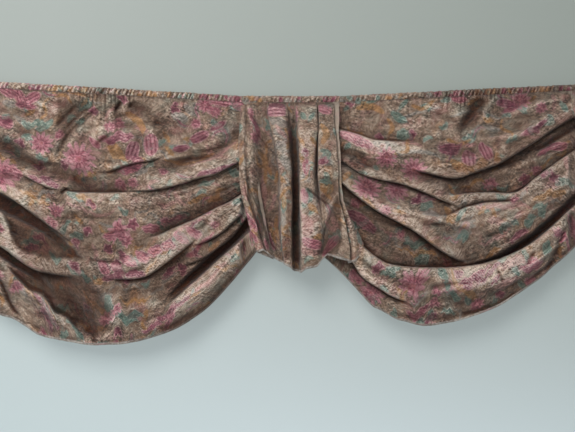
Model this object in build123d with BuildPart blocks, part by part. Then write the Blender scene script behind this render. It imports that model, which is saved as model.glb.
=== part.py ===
from build123d import *
from math import atan2, cos, degrees, hypot, pi, sin
import os

# Swag-and-tail valance hanging on one taut curtain wire.
# Millimetres. X runs along the wire, -Y is the room side, +Z is up.
# The origin is the middle of the wire's level run, inside the centre casing.

# ---------------------------------------------------------------- dimensions
cloth = 4.0                 # depth of a cloth body, soft thickness included
seam_gap = 0.4              # gap between two stitched neighbours
casing_half_height = 9.2    # rod casing, flat height 18.4
casing_half_depth = 5.8
casing_bore_height = 6.6    # half height of the casing's tunnel
casing_bore_depth = 3.4
hem_drop = 6.0              # rolled hem
hem_swell = 1.0

wire_core_r = 1.1
wire_sheath_r = 2.2
wire_sheath_bore_r = 1.3
flat_half = 97.0            # half length of the wire's level run
rise_left = 0.0584          # rise of the wire per mm beyond the level run
rise_right = 0.049
eye_left_x = -930.0
eye_right_x = 807.0
eye_bore_r = 3.5
eye_ring_r = 5.5
eye_ring_length = 2.4
bend_radius = 200.0

left_swag_end = -673.0      # outer end of the left swag's casing
right_swag_end = 557.0
left_tail_end = -863.0
right_tail_end = 747.0
end_gap = 0.6               # gap between two casings on the wire

tape_width = 11.0
tape_thickness = 1.2

# Left swag: each station is (x, top z, [(z, y) of six fold crests, hem last]).
left_swag_rows = [
    (-696.8, -4.0, [(-25.5, -8.4), (-93.3, -10.8), (-164.8, -14.0), (-196.5, -16.8), (-226.1, -19.6), (-314.7, -18.2)]),
    (-657.7, 22.9, [(-18.5, -13.2), (-92.1, -17.1), (-171.2, -22.0), (-206.6, -26.4), (-243.7, -30.8), (-354.9, -28.6)]),
    (-583.1, 18.6, [(-74.7, -19.2), (-132.2, -24.8), (-210.6, -32.0), (-249.4, -38.4), (-293.5, -44.8), (-399.7, -41.6)]),
    (-502.6, 13.9, [(-118.3, -22.8), (-161.8, -29.4), (-237.8, -38.0), (-287.7, -45.6), (-338.8, -53.2), (-440.6, -49.4)]),
    (-424.8, 9.3, [(-138.0, -24.0), (-183.3, -31.0), (-280.3, -40.0), (-312.5, -48.0), (-369.0, -56.0), (-470.7, -52.0)]),
    (-357.8, 5.4, [(-143.9, -24.0), (-189.2, -31.0), (-293.8, -40.0), (-331.7, -48.0), (-403.2, -56.0), (-476.4, -52.0)]),
    (-281.1, 1.0, [(-124.3, -24.0), (-179.5, -31.0), (-286.1, -40.0), (-327.8, -48.0), (-414.7, -56.0), (-465.0, -52.0)]),
    (-205.3, -3.5, [(-102.5, -21.6), (-161.7, -27.9), (-251.4, -36.0), (-301.3, -43.2), (-373.5, -50.4), (-435.4, -46.8)]),
    (-138.8, -7.4, [(-70.6, -18.0), (-136.0, -23.2), (-218.4, -30.0), (-263.0, -36.0), (-295.6, -42.0), (-380.8, -39.0)]),
    (-97.5, -9.9, [(-44.2, -13.2), (-115.7, -17.1), (-192.8, -22.0), (-228.1, -26.4), (-261.2, -30.8), (-333.4, -28.6)]),
    (-66.1, -38.0, [(-57.3, -8.4), (-105.2, -10.8), (-176.7, -14.0), (-212.3, -16.8), (-243.8, -19.6), (-298.9, -18.2)]),
]
right_swag_rows = [
    (60.0, -38.0, [(-57.3, -8.4), (-101.2, -10.8), (-172.7, -14.0), (-210.3, -16.8), (-243.8, -19.6), (-322.5, -18.2)]),
    (97.5, -9.9, [(-62.0, -13.2), (-117.7, -17.1), (-171.2, -22.0), (-224.2, -26.4), (-263.1, -30.8), (-339.3, -28.6)]),
    (161.5, -6.6, [(-86.3, -18.0), (-153.6, -23.2), (-208.6, -30.0), (-255.2, -36.0), (-312.9, -42.0), (-407.8, -39.0)]),
    (227.3, -3.4, [(-102.6, -22.8), (-169.6, -29.4), (-222.3, -38.0), (-278.1, -45.6), (-346.4, -53.2), (-433.0, -49.4)]),
    (284.3, -0.6, [(-122.3, -24.0), (-197.0, -31.0), (-239.7, -40.0), (-301.0, -48.0), (-363.3, -56.0), (-436.3, -52.0)]),
    (351.3, 2.7, [(-141.9, -24.0), (-210.6, -31.0), (-247.4, -40.0), (-320.2, -48.0), (-361.4, -56.0), (-419.1, -52.0)]),
    (419.4, 6.0, [(-118.3, -22.8), (-181.3, -29.4), (-206.9, -38.0), (-297.3, -45.6), (-331.2, -53.2), (-387.0, -49.4)]),
    (489.8, 9.4, [(-66.8, -19.2), (-149.8, -24.8), (-193.1, -32.0), (-247.5, -38.4), (-289.7, -44.8), (-341.9, -41.6)]),
    (544.0, 12.1, [(-38.2, -13.2), (-109.8, -17.1), (-157.5, -22.0), (-212.5, -26.4), (-243.7, -30.8), (-298.3, -28.6)]),
    (588.2, -14.0, [(-37.4, -8.4), (-85.4, -10.8), (-131.2, -14.0), (-176.8, -16.8), (-208.4, -19.6), (-263.5, -18.2)]),
]

# Pleats of a tail: (fraction of the width, forward depth as a fraction of the pleat depth).
tail_pleats = [
    (0.00, 0.55), (0.06, 0.75), (0.14, 0.25), (0.20, 0.15), (0.26, 0.85), (0.34, 1.00),
    (0.44, 0.80), (0.50, 0.10), (0.55, 0.15), (0.60, 0.95), (0.68, 1.00), (0.74, 0.75),
    (0.78, 0.15), (0.82, 0.80), (0.90, 0.85), (0.95, 0.40), (1.00, 0.30),
]
tail_pleats_mirrored = [(1.0 - f, d) for f, d in reversed(tail_pleats)]

# Levels of a tail: (x left, z left, x right, z right, valley y, pleat depth), top to bottom.
center_tail_levels = [
    (-96.3, -9.8, 96.3, -9.8, -9.0, 4.0),
    (-100.0, -60.0, 94.0, -60.0, -26.0, 14.0),
    (-99.0, -170.0, 97.0, -170.0, -37.0, 20.0),
    (-90.0, -228.0, 108.0, -228.0, -41.0, 22.0),
    (-68.0, -304.0, 113.0, -318.0, -40.0, 22.0),
]
left_tail_levels = [
    (-862.6, 34.9, -673.8, 23.9, -9.0, 4.0),
    (-864.0, -18.0, -666.0, -30.0, -26.0, 14.0),
    (-868.0, -140.0, -662.0, -146.0, -37.0, 20.0),
    (-864.0, -342.0, -668.0, -298.0, -40.0, 22.0),
]
right_tail_levels = [
    (557.8, 12.8, 746.6, 22.1, -9.0, 4.0),
    (574.0, -40.0, 750.0, -30.0, -26.0, 14.0),
    (580.0, -160.0, 755.0, -154.0, -37.0, 20.0),
    (577.0, -296.0, 750.0, -336.0, -40.0, 22.0),
]


# ------------------------------------------------------------------- helpers
def wire_z(x):
    """Height of the wire's centre line at x."""
    return rise_left * max(0.0, -flat_half - x) + rise_right * max(0.0, x - flat_half)


def station_plane(x):
    """Plane across the wire at x: sketch x is +Y, sketch y is +Z."""
    return Plane(origin=(x, 0, 0), x_dir=(0, 1, 0), z_dir=(1, 0, 0))


def swag_front(rows, i):
    """Front line of a swag at station i, top to hem, as (y, z) points."""
    x, top, crests = rows[i]
    scale = crests[4][1] / -56.0
    line = [(-4.0, top)]
    for k in range(5):
        z, y = crests[k]
        z_next, y_next = crests[k + 1]
        line.append((y, z))
        line.append((y + 9.0 * scale, z + 0.34 * (z_next - z)))
    z, y = crests[5]
    line.append((y, z + hem_drop + seam_gap))
    return line


def swag_at(rows, x):
    """Front line of a swag at any x between its stations."""
    for i in range(len(rows) - 1):
        x0, x1 = rows[i][0], rows[i + 1][0]
        if x0 <= x <= x1:
            t = (x - x0) / (x1 - x0)
            a, b = swag_front(rows, i), swag_front(rows, i + 1)
            return [(p[0] + t * (q[0] - p[0]), p[1] + t * (q[1] - p[1])) for p, q in zip(a, b)]
    raise ValueError("x lies outside the swag")


def band(line, near, far):
    """Closed outline between two copies of a line set back along +Y."""
    return [(y + near, z) for y, z in line] + [(y + far, z) for y, z in reversed(line)]


def level_plane(level, drop=0.0):
    """Plane along a tail's level line: sketch x runs along it, sketch y is +Y."""
    xl, zl, xr, zr = level[:4]
    tilt = atan2(zr - zl, xr - xl)
    return Plane(origin=(xl, 0, zl - drop), x_dir=(cos(tilt), 0, sin(tilt)), z_dir=(-sin(tilt), 0, cos(tilt)))


def tail_outline(level, pleats, near=0.0, far=cloth):
    """Closed pleated outline of a tail at one level."""
    xl, zl, xr, zr, valley, depth = level
    run = hypot(xr - xl, zr - zl)
    line = [(f * run, valley - d * depth) for f, d in pleats]
    return [(s, y + near) for s, y in line] + [(s, y + far) for s, y in reversed(line)]


def casing_stations(x0, x1, pitch, bunch_x=None):
    """Stations of a gathered casing: (x, half depth), alternating full and drawn in."""
    count = max(4, round((x1 - x0) / pitch))
    out = []
    for i in range(count + 1):
        x = x0 + (x1 - x0) * i / count
        swell = 0.55 if i % 2 == 0 else -0.55
        near_bunch = bunch_x is not None and abs(x - bunch_x) < 45
        out.append((x, casing_half_depth + (1.6 * swell if near_bunch else swell)))
    return out


def wire_plane(x, side):
    """Plane across the wire at x, square to its run on the given side."""
    rise = {"left": -rise_left, "flat": 0.0, "right": rise_right}[side]
    n = hypot(1.0, rise)
    return Plane(origin=(x, 0, wire_z(x)), x_dir=(0, 1, 0), z_dir=(1 / n, 0, rise / n))


wire_line = [
    (eye_left_x + 12.0, 0, wire_z(eye_left_x + 12.0)),
    (-flat_half, 0, 0),
    (flat_half, 0, 0),
    (eye_right_x - 10.0, 0, wire_z(eye_right_x - 10.0)),
]

# ---------------------------------------------------------------------- wire
with BuildPart() as hanging_wire_core:
    with BuildLine() as core_path:
        FilletPolyline(
            (eye_left_x + 26.0, 0, wire_z(eye_left_x + 26.0)), wire_line[1], wire_line[2],
            (eye_right_x - 24.0, 0, wire_z(eye_right_x - 24.0)), radius=bend_radius,
        )
    with BuildSketch(Plane(origin=core_path.line @ 0, z_dir=core_path.line % 0)):
        Circle(wire_core_r)
    sweep()

with BuildPart() as hanging_wire_sheath:
    with BuildLine() as sheath_path:
        FilletPolyline(*wire_line, radius=bend_radius)
    with BuildSketch(Plane(origin=sheath_path.line @ 0, z_dir=sheath_path.line % 0)):
        Circle(wire_sheath_r)
        Circle(wire_sheath_bore_r, mode=Mode.SUBTRACT)
    sweep()

# Screw eyes: a flat ring whose bore drops over a wall hook, and a shank turned into the wire's end.
with BuildPart() as screw_eye_left:
    with BuildSketch(Plane(origin=(eye_left_x, eye_ring_length / 2, wire_z(eye_left_x)), x_dir=(1, 0, 0), z_dir=(0, -1, 0))):
        Circle(eye_ring_r)
    extrude(amount=eye_ring_length)
    with BuildSketch(wire_plane(eye_left_x + 4.5, "left")):
        Circle(wire_core_r - 0.1)
    extrude(amount=21.0)
    with BuildSketch(Plane(origin=(eye_left_x, eye_ring_length / 2 + 1, wire_z(eye_left_x)), x_dir=(1, 0, 0), z_dir=(0, -1, 0))):
        Circle(eye_bore_r)
    extrude(amount=eye_ring_length + 2, mode=Mode.SUBTRACT)
    fillet(screw_eye_left.edges().filter_by(GeomType.CIRCLE).filter_by(lambda e: abs(e.radius - eye_ring_r) < 0.01), 0.7)

with BuildPart() as screw_eye_right:
    with BuildSketch(Plane(origin=(eye_right_x, eye_ring_length / 2, wire_z(eye_right_x)), x_dir=(1, 0, 0), z_dir=(0, -1, 0))):
        Circle(eye_ring_r)
    extrude(amount=eye_ring_length)
    with BuildSketch(wire_plane(eye_right_x - 4.5, "right")):
        Circle(wire_core_r - 0.1)
    extrude(amount=-19.0)
    with BuildSketch(Plane(origin=(eye_right_x, eye_ring_length / 2 + 1, wire_z(eye_right_x)), x_dir=(1, 0, 0), z_dir=(0, -1, 0))):
        Circle(eye_bore_r)
    extrude(amount=eye_ring_length + 2, mode=Mode.SUBTRACT)
    fillet(screw_eye_right.edges().filter_by(GeomType.CIRCLE).filter_by(lambda e: abs(e.radius - eye_ring_r) < 0.01), 0.7)

# ------------------------------------------------------------------ casings
with BuildPart() as left_swag_casing:
    for x, half_depth in casing_stations(left_swag_end, -flat_half - end_gap, 24.0, -363.0):
        with BuildSketch(wire_plane(x, "left")):
            Ellipse(half_depth, casing_half_height)
    loft(ruled=True)
    with BuildSketch(wire_plane(left_swag_end - 5, "left")):
        Ellipse(casing_bore_depth, casing_bore_height)
    extrude(amount=(-flat_half - left_swag_end) + 20, mode=Mode.SUBTRACT)

with BuildPart() as right_swag_casing:
    for x, half_depth in casing_stations(flat_half + end_gap, right_swag_end, 24.0, 363.0):
        with BuildSketch(wire_plane(x, "right")):
            Ellipse(half_depth, casing_half_height)
    loft(ruled=True)
    with BuildSketch(wire_plane(right_swag_end + 5, "right")):
        Ellipse(casing_bore_depth, casing_bore_height)
    extrude(amount=-((right_swag_end - flat_half) + 20), mode=Mode.SUBTRACT)

with BuildPart() as center_tail_casing:
    for x, half_depth in casing_stations(-flat_half + end_gap, flat_half - end_gap, 24.0):
        with BuildSketch(wire_plane(x, "flat")):
            Ellipse(half_depth, casing_half_height)
    loft(ruled=True)
    with BuildSketch(wire_plane(-flat_half - 5, "flat")):
        Ellipse(casing_bore_depth, casing_bore_height)
    extrude(amount=2 * flat_half + 10, mode=Mode.SUBTRACT)

with BuildPart() as left_tail_casing:
    for x, half_depth in casing_stations(left_tail_end, left_swag_end - end_gap, 24.0):
        with BuildSketch(wire_plane(x, "left")):
            Ellipse(half_depth, casing_half_height)
    loft(ruled=True)
    with BuildSketch(wire_plane(left_tail_end - 5, "left")):
        Ellipse(casing_bore_depth, casing_bore_height)
    extrude(amount=(left_swag_end - left_tail_end) + 10, mode=Mode.SUBTRACT)

with BuildPart() as right_tail_casing:
    for x, half_depth in casing_stations(right_swag_end + end_gap, right_tail_end, 24.0):
        with BuildSketch(wire_plane(x, "right")):
            Ellipse(half_depth, casing_half_height)
    loft(ruled=True)
    with BuildSketch(wire_plane(right_swag_end - 5, "right")):
        Ellipse(casing_bore_depth, casing_bore_height)
    extrude(amount=(right_tail_end - right_swag_end) + 10, mode=Mode.SUBTRACT)

# -------------------------------------------------------------------- swags
with BuildPart() as left_swag_panel:
    for i in range(len(left_swag_rows)):
        with BuildSketch(station_plane(left_swag_rows[i][0])):
            with BuildLine():
                Polyline(*band(swag_front(left_swag_rows, i), 0, cloth), close=True)
            make_face()
    loft(ruled=True)

with BuildPart() as right_swag_panel:
    for i in range(len(right_swag_rows)):
        with BuildSketch(station_plane(right_swag_rows[i][0])):
            with BuildLine():
                Polyline(*band(swag_front(right_swag_rows, i), 0, cloth), close=True)
            make_face()
    loft(ruled=True)

with BuildPart() as left_swag_hem:
    for x, top, crests in left_swag_rows:
        z, y = crests[5]
        with BuildSketch(station_plane(x)):
            with BuildLine():
                Polyline(*band([(y, z + hem_drop), (y - hem_swell, z + hem_drop / 2), (y, z)], 0, cloth + hem_swell), close=True)
            make_face()
    loft(ruled=True)

with BuildPart() as right_swag_hem:
    for x, top, crests in right_swag_rows:
        z, y = crests[5]
        with BuildSketch(station_plane(x)):
            with BuildLine():
                Polyline(*band([(y, z + hem_drop), (y - hem_swell, z + hem_drop / 2), (y, z)], 0, cloth + hem_swell), close=True)
            make_face()
    loft(ruled=True)

# Gathering tapes, stitched to the back of the swags' pleated ends.
with BuildPart() as left_swag_outer_tape:
    for x in (-692.0, -692.0 + tape_width):
        with BuildSketch(station_plane(x)):
            with BuildLine():
                Polyline(*band(swag_at(left_swag_rows, x), cloth + 0.3, cloth + 0.3 + tape_thickness), close=True)
            make_face()
    loft(ruled=True)

with BuildPart() as left_swag_inner_tape:
    for x in (-71.0 - tape_width, -71.0):
        with BuildSketch(station_plane(x)):
            with BuildLine():
                Polyline(*band(swag_at(left_swag_rows, x), cloth + 0.3, cloth + 0.3 + tape_thickness), close=True)
            make_face()
    loft(ruled=True)

with BuildPart() as right_swag_inner_tape:
    for x in (65.0, 65.0 + tape_width):
        with BuildSketch(station_plane(x)):
            with BuildLine():
                Polyline(*band(swag_at(right_swag_rows, x), cloth + 0.3, cloth + 0.3 + tape_thickness), close=True)
            make_face()
    loft(ruled=True)

with BuildPart() as right_swag_outer_tape:
    for x in (583.0 - tape_width, 583.0):
        with BuildSketch(station_plane(x)):
            with BuildLine():
                Polyline(*band(swag_at(right_swag_rows, x), cloth + 0.3, cloth + 0.3 + tape_thickness), close=True)
            make_face()
    loft(ruled=True)

# -------------------------------------------------------------------- tails
with BuildPart() as center_tail_panel:
    for level in center_tail_levels:
        with BuildSketch(level_plane(level)):
            with BuildLine():
                Polyline(*tail_outline(level, tail_pleats), close=True)
            make_face()
    loft(ruled=True)

with BuildPart() as center_tail_hem:
    for drop in (seam_gap, hem_drop + seam_gap):
        with BuildSketch(level_plane(center_tail_levels[-1], drop)):
            with BuildLine():
                Polyline(*tail_outline(center_tail_levels[-1], tail_pleats, -hem_swell, cloth + hem_swell), close=True)
            make_face()
    loft(ruled=True)

with BuildPart() as left_tail_panel:
    for level in left_tail_levels:
        with BuildSketch(level_plane(level)):
            with BuildLine():
                Polyline(*tail_outline(level, tail_pleats_mirrored), close=True)
            make_face()
    loft(ruled=True)

with BuildPart() as left_tail_hem:
    for drop in (seam_gap, hem_drop + seam_gap):
        with BuildSketch(level_plane(left_tail_levels[-1], drop)):
            with BuildLine():
                Polyline(*tail_outline(left_tail_levels[-1], tail_pleats_mirrored, -hem_swell, cloth + hem_swell), close=True)
            make_face()
    loft(ruled=True)

with BuildPart() as right_tail_panel:
    for level in right_tail_levels:
        with BuildSketch(level_plane(level)):
            with BuildLine():
                Polyline(*tail_outline(level, tail_pleats), close=True)
            make_face()
    loft(ruled=True)

with BuildPart() as right_tail_hem:
    for drop in (seam_gap, hem_drop + seam_gap):
        with BuildSketch(level_plane(right_tail_levels[-1], drop)):
            with BuildLine():
                Polyline(*tail_outline(right_tail_levels[-1], tail_pleats, -hem_swell, cloth + hem_swell), close=True)
            make_face()
    loft(ruled=True)

# ------------------------------------------------------------------- export
os.makedirs("parts", exist_ok=True)

hanging_wire_core.part.label = "hanging_wire_core"
export_step(hanging_wire_core.part, "parts/hanging_wire_core.step")
hanging_wire_sheath.part.label = "hanging_wire_sheath"
export_step(hanging_wire_sheath.part, "parts/hanging_wire_sheath.step")
screw_eye_left.part.label = "screw_eye_left"
export_step(screw_eye_left.part, "parts/screw_eye_left.step")
screw_eye_right.part.label = "screw_eye_right"
export_step(screw_eye_right.part, "parts/screw_eye_right.step")
left_swag_casing.part.label = "left_swag_casing"
export_step(left_swag_casing.part, "parts/left_swag_casing.step")
left_swag_panel.part.label = "left_swag_panel"
export_step(left_swag_panel.part, "parts/left_swag_panel.step")
left_swag_hem.part.label = "left_swag_hem"
export_step(left_swag_hem.part, "parts/left_swag_hem.step")
left_swag_outer_tape.part.label = "left_swag_outer_tape"
export_step(left_swag_outer_tape.part, "parts/left_swag_outer_tape.step")
left_swag_inner_tape.part.label = "left_swag_inner_tape"
export_step(left_swag_inner_tape.part, "parts/left_swag_inner_tape.step")
right_swag_casing.part.label = "right_swag_casing"
export_step(right_swag_casing.part, "parts/right_swag_casing.step")
right_swag_panel.part.label = "right_swag_panel"
export_step(right_swag_panel.part, "parts/right_swag_panel.step")
right_swag_hem.part.label = "right_swag_hem"
export_step(right_swag_hem.part, "parts/right_swag_hem.step")
right_swag_inner_tape.part.label = "right_swag_inner_tape"
export_step(right_swag_inner_tape.part, "parts/right_swag_inner_tape.step")
right_swag_outer_tape.part.label = "right_swag_outer_tape"
export_step(right_swag_outer_tape.part, "parts/right_swag_outer_tape.step")
center_tail_casing.part.label = "center_tail_casing"
export_step(center_tail_casing.part, "parts/center_tail_casing.step")
center_tail_panel.part.label = "center_tail_panel"
export_step(center_tail_panel.part, "parts/center_tail_panel.step")
center_tail_hem.part.label = "center_tail_hem"
export_step(center_tail_hem.part, "parts/center_tail_hem.step")
left_tail_casing.part.label = "left_tail_casing"
export_step(left_tail_casing.part, "parts/left_tail_casing.step")
left_tail_panel.part.label = "left_tail_panel"
export_step(left_tail_panel.part, "parts/left_tail_panel.step")
left_tail_hem.part.label = "left_tail_hem"
export_step(left_tail_hem.part, "parts/left_tail_hem.step")
right_tail_casing.part.label = "right_tail_casing"
export_step(right_tail_casing.part, "parts/right_tail_casing.step")
right_tail_panel.part.label = "right_tail_panel"
export_step(right_tail_panel.part, "parts/right_tail_panel.step")
right_tail_hem.part.label = "right_tail_hem"
export_step(right_tail_hem.part, "parts/right_tail_hem.step")
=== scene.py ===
import json
import math

import bpy
import numpy as np
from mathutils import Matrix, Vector


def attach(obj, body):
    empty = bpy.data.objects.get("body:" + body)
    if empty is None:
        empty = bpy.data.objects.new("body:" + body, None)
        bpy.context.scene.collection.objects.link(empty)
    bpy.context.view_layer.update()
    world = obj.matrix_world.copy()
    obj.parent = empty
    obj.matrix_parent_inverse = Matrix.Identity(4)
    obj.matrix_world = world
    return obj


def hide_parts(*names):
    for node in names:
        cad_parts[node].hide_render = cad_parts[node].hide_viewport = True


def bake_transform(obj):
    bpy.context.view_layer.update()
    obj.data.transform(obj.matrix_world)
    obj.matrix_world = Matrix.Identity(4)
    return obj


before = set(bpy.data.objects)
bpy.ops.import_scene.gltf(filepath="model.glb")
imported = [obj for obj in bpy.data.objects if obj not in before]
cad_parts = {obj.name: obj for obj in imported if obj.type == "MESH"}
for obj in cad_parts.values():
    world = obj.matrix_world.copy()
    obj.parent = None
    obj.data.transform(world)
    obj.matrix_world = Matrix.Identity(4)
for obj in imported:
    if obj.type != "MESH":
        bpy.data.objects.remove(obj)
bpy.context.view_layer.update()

scene = bpy.context.scene

# ------------------------------------------------------------------ camera
# The camera looks square at the wall. A pixel of the 575 x 432 view is 2 mm at the wire.
PIX = 0.002
CAM = (-0.008, -1.15, -0.232)
cam_data = bpy.data.cameras.new("camera")
cam_data.lens = 36.0
cam_data.sensor_width = 36.0
cam_data.clip_start = 0.02
cam = bpy.data.objects.new("camera", cam_data)
scene.collection.objects.link(cam)
cam.location = CAM
cam.rotation_euler = (math.radians(90), 0, 0)
scene.camera = cam


def to_world(u, v, y):
    """Points seen at view coordinates (u, v) whose depth is y metres."""
    k = PIX * (y - CAM[1]) / -CAM[1]
    x = CAM[0] + (u - 287.5) * k
    z = CAM[2] - (v - 216.0) * k
    return np.stack([x, y + 0 * x, z], -1)


def wire_z(x):
    return 0.0584 * np.maximum(0, -0.097 - x) + 0.049 * np.maximum(0, x - 0.097)


def wire_v(u):
    """Height of the wire's centre line in the view, at depth 0."""
    x = CAM[0] + (np.asarray(u, float) - 287.5) * PIX
    return 216.0 - (wire_z(x) - CAM[2]) / PIX


# ------------------------------------------------------------- small maths
def smooth(t):
    t = np.clip(t, 0, 1)
    return t * t * (3 - 2 * t)


def soft_line(points, per=6):
    """Catmull-Rom curve through points."""
    p = np.array(points, float)
    p = np.vstack([2 * p[0] - p[1], p, 2 * p[-1] - p[-2]])
    out = []
    for i in range(1, len(p) - 2):
        t = np.linspace(0, 1, per, endpoint=False)[:, None]
        a, b, c, d = p[i - 1], p[i], p[i + 1], p[i + 2]
        out.append(0.5 * (2 * b + (c - a) * t + (2 * a - 5 * b + 4 * c - d) * t**2 + (3 * b - a - 3 * c + d) * t**3))
    out.append(p[-2][None])
    return np.vstack(out)


def blur(a, radius):
    """Box blur of a grid, twice in each direction."""
    for _ in range(2):
        for axis in (0, 1):
            n = a.shape[axis]
            r = min(radius, n // 2 - 1)
            pad = [(0, 0), (0, 0)]
            pad[axis] = (r + 1, r)
            c = np.cumsum(np.pad(a, pad, mode="edge"), axis=axis)
            hi = np.take(c, np.arange(2 * r + 1, 2 * r + 1 + n), axis=axis)
            lo = np.take(c, np.arange(0, n), axis=axis)
            a = (hi - lo) / (2 * r + 1)
    return a


def cavity(depth):
    """How far each point lies behind the cloth round it, from 0 to 1: painted shade goes there."""
    wide = np.clip((blur(depth, 9) - depth) / 13.0, 0, 1) ** 0.9
    narrow = np.clip((blur(depth, 3) - depth) / 4.5, 0, 1)
    return np.clip(np.maximum(wide, 0.85 * narrow) + 0.25 * narrow, 0, 1)


def crest(depth):
    """How far each point stands out of the cloth round it, from 0 to 1: painted highlight goes there."""
    return np.clip((depth - blur(depth, 6)) / 5.0, 0, 1)


class Noise:
    """Smooth value noise on a seeded lattice."""

    def __init__(self, seed):
        self.g = np.random.default_rng(seed).uniform(-1, 1, (128, 128))

    def __call__(self, a, b):
        a = np.asarray(a, float)
        b = np.asarray(b, float)
        i, j = np.floor(a).astype(int), np.floor(b).astype(int)
        f, h = a - i, b - j
        f, h = f * f * f * (f * (f * 6 - 15) + 10), h * h * h * (h * (h * 6 - 15) + 10)
        g = self.g
        i0, i1, j0, j1 = i % 128, (i + 1) % 128, j % 128, (j + 1) % 128
        return (g[i0, j0] * (1 - f) + g[i1, j0] * f) * (1 - h) + (g[i0, j1] * (1 - f) + g[i1, j1] * f) * h


def near_line(u, v, line):
    """Signed distance (positive below a line drawn left to right) and fraction along it."""
    best = np.full(u.shape, 1e9)
    sign = np.ones(u.shape)
    frac = np.zeros(u.shape)
    seg = np.hypot(*(line[1:] - line[:-1]).T)
    total, run = seg.sum(), 0.0
    for k in range(len(line) - 1):
        a, ab = line[k], line[k + 1] - line[k]
        du, dv = u - a[0], v - a[1]
        t = np.clip((du * ab[0] + dv * ab[1]) / (seg[k] ** 2), 0, 1)
        qu, qv = du - t * ab[0], dv - t * ab[1]
        d = np.hypot(qu, qv)
        m = d < best
        best[m] = d[m]
        sign[m] = np.where(ab[0] * dv[m] - ab[1] * du[m] >= 0, 1.0, -1.0)
        frac[m] = (run + t[m] * seg[k]) / total
        run += seg[k]
    return best * sign, frac


# -------------------------------------------------------------- fold lines
# kind, points, height mm, reach above px, reach below px, overhang px, taper at start, taper at end
def apply_folds(u, v, folds):
    forward = np.zeros(u.shape)
    drop = np.zeros(u.shape)
    # shade is painted shade below each fold line and along each gap
    shade = np.zeros(u.shape)
    for kind, pts, h, wa, wb, over, t0, t1 in folds:
        h, over = h * (1.75 if h >= 2.0 else 1.0), over * 1.6
        line = soft_line(pts)
        lo, hi = line.min(0) - 45, line.max(0) + 45
        m = (u > lo[0]) & (u < hi[0]) & (v > lo[1]) & (v < hi[1])
        if not m.any():
            continue
        d, f = near_line(u[m], v[m], line)
        w = smooth(f / max(t0, 1e-3)) * smooth((1 - f) / max(t1, 1e-3))
        if kind in ("edge", "lip"):
            if kind == "lip":  # the cloth below the line lies in front
                d, wa_, wb_, over = -d, wb, wa, -over
            else:
                wa_, wb_ = wa, wb
            far = np.minimum(d + 1.6, 0)
            up = 0.5 * np.exp(-((far / wa_) ** 2)) + 0.5 * np.exp(far / (0.9 * wa_))
            low = -0.95 * np.exp(-np.maximum(d, 0) / wb_)
            mix = smooth((d + 1.6) / 2.6)
            forward[m] += h * w * (up * (1 - mix) + low * mix)
            drop[m] += over * w * np.where(d < 0, np.exp(-((d / 3.6) ** 2)), np.exp(-((d / 1.0) ** 2)))
            shade[m] = np.maximum(shade[m], min(1.0, h / 16) * w * smooth((d + 0.3) / 1.2) * (0.52 * np.exp(-np.maximum(d, 0) / (1.9 * wb_)) + 0.40 * np.exp(-np.maximum(d, 0) / 1.1)))
        elif kind == "valley":
            forward[m] -= h * w * np.exp(-(np.abs(d) / np.where(d < 0, wa, wb)) ** 2)
        elif kind == "ridge":
            forward[m] += h * w * np.exp(-(np.abs(d) / np.where(d < 0, wa, wb)) ** 2)
        elif kind == "gap":
            half = wa * (0.35 + 0.65 * w)
            forward[m] -= h * w * smooth((half + wb - np.abs(d)) / (2 * wb))
            shade[m] = np.maximum(shade[m], 0.92 * w * smooth((half + 0.5 * wb - np.abs(d)) / (1.6 * wb)))
    return forward, drop, shade


def apply_facets(u, v, facets):
    """Flat facets between creases: how far each lies back (mm) and how much painted shade (positive) or painted
    highlight (negative) it carries.
    """
    back = np.zeros(u.shape)
    tone = np.zeros(u.shape)
    for poly, depth, shade, soft in facets:
        p = np.array(poly, float)
        lo, hi = p.min(0) - 12, p.max(0) + 12
        m = (u > lo[0]) & (u < hi[0]) & (v > lo[1]) & (v < hi[1])
        if not m.any():
            continue
        a, b = u[m], v[m]
        inside = np.zeros(a.shape, bool)
        dist = np.full(a.shape, 1e9)
        for k in range(len(p)):
            q, r = p[k], p[(k + 1) % len(p)]
            e = r - q
            t = np.clip(((a - q[0]) * e[0] + (b - q[1]) * e[1]) / (e @ e), 0, 1)
            dist = np.minimum(dist, np.hypot(a - q[0] - t * e[0], b - q[1] - t * e[1]))
            cross = (q[1] > b) != (r[1] > b)
            with np.errstate(divide="ignore", invalid="ignore"):
                x = q[0] + (b - q[1]) / (e[1] if e[1] else 1e-9) * e[0]
            inside ^= cross & (a < x)
        w = smooth(0.5 + np.where(inside, dist, -dist) / (2 * soft))
        back[m] += depth * w
        tone[m] = np.where(np.abs(shade * w) > np.abs(tone[m]), shade * w, tone[m])
    return back, tone


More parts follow.
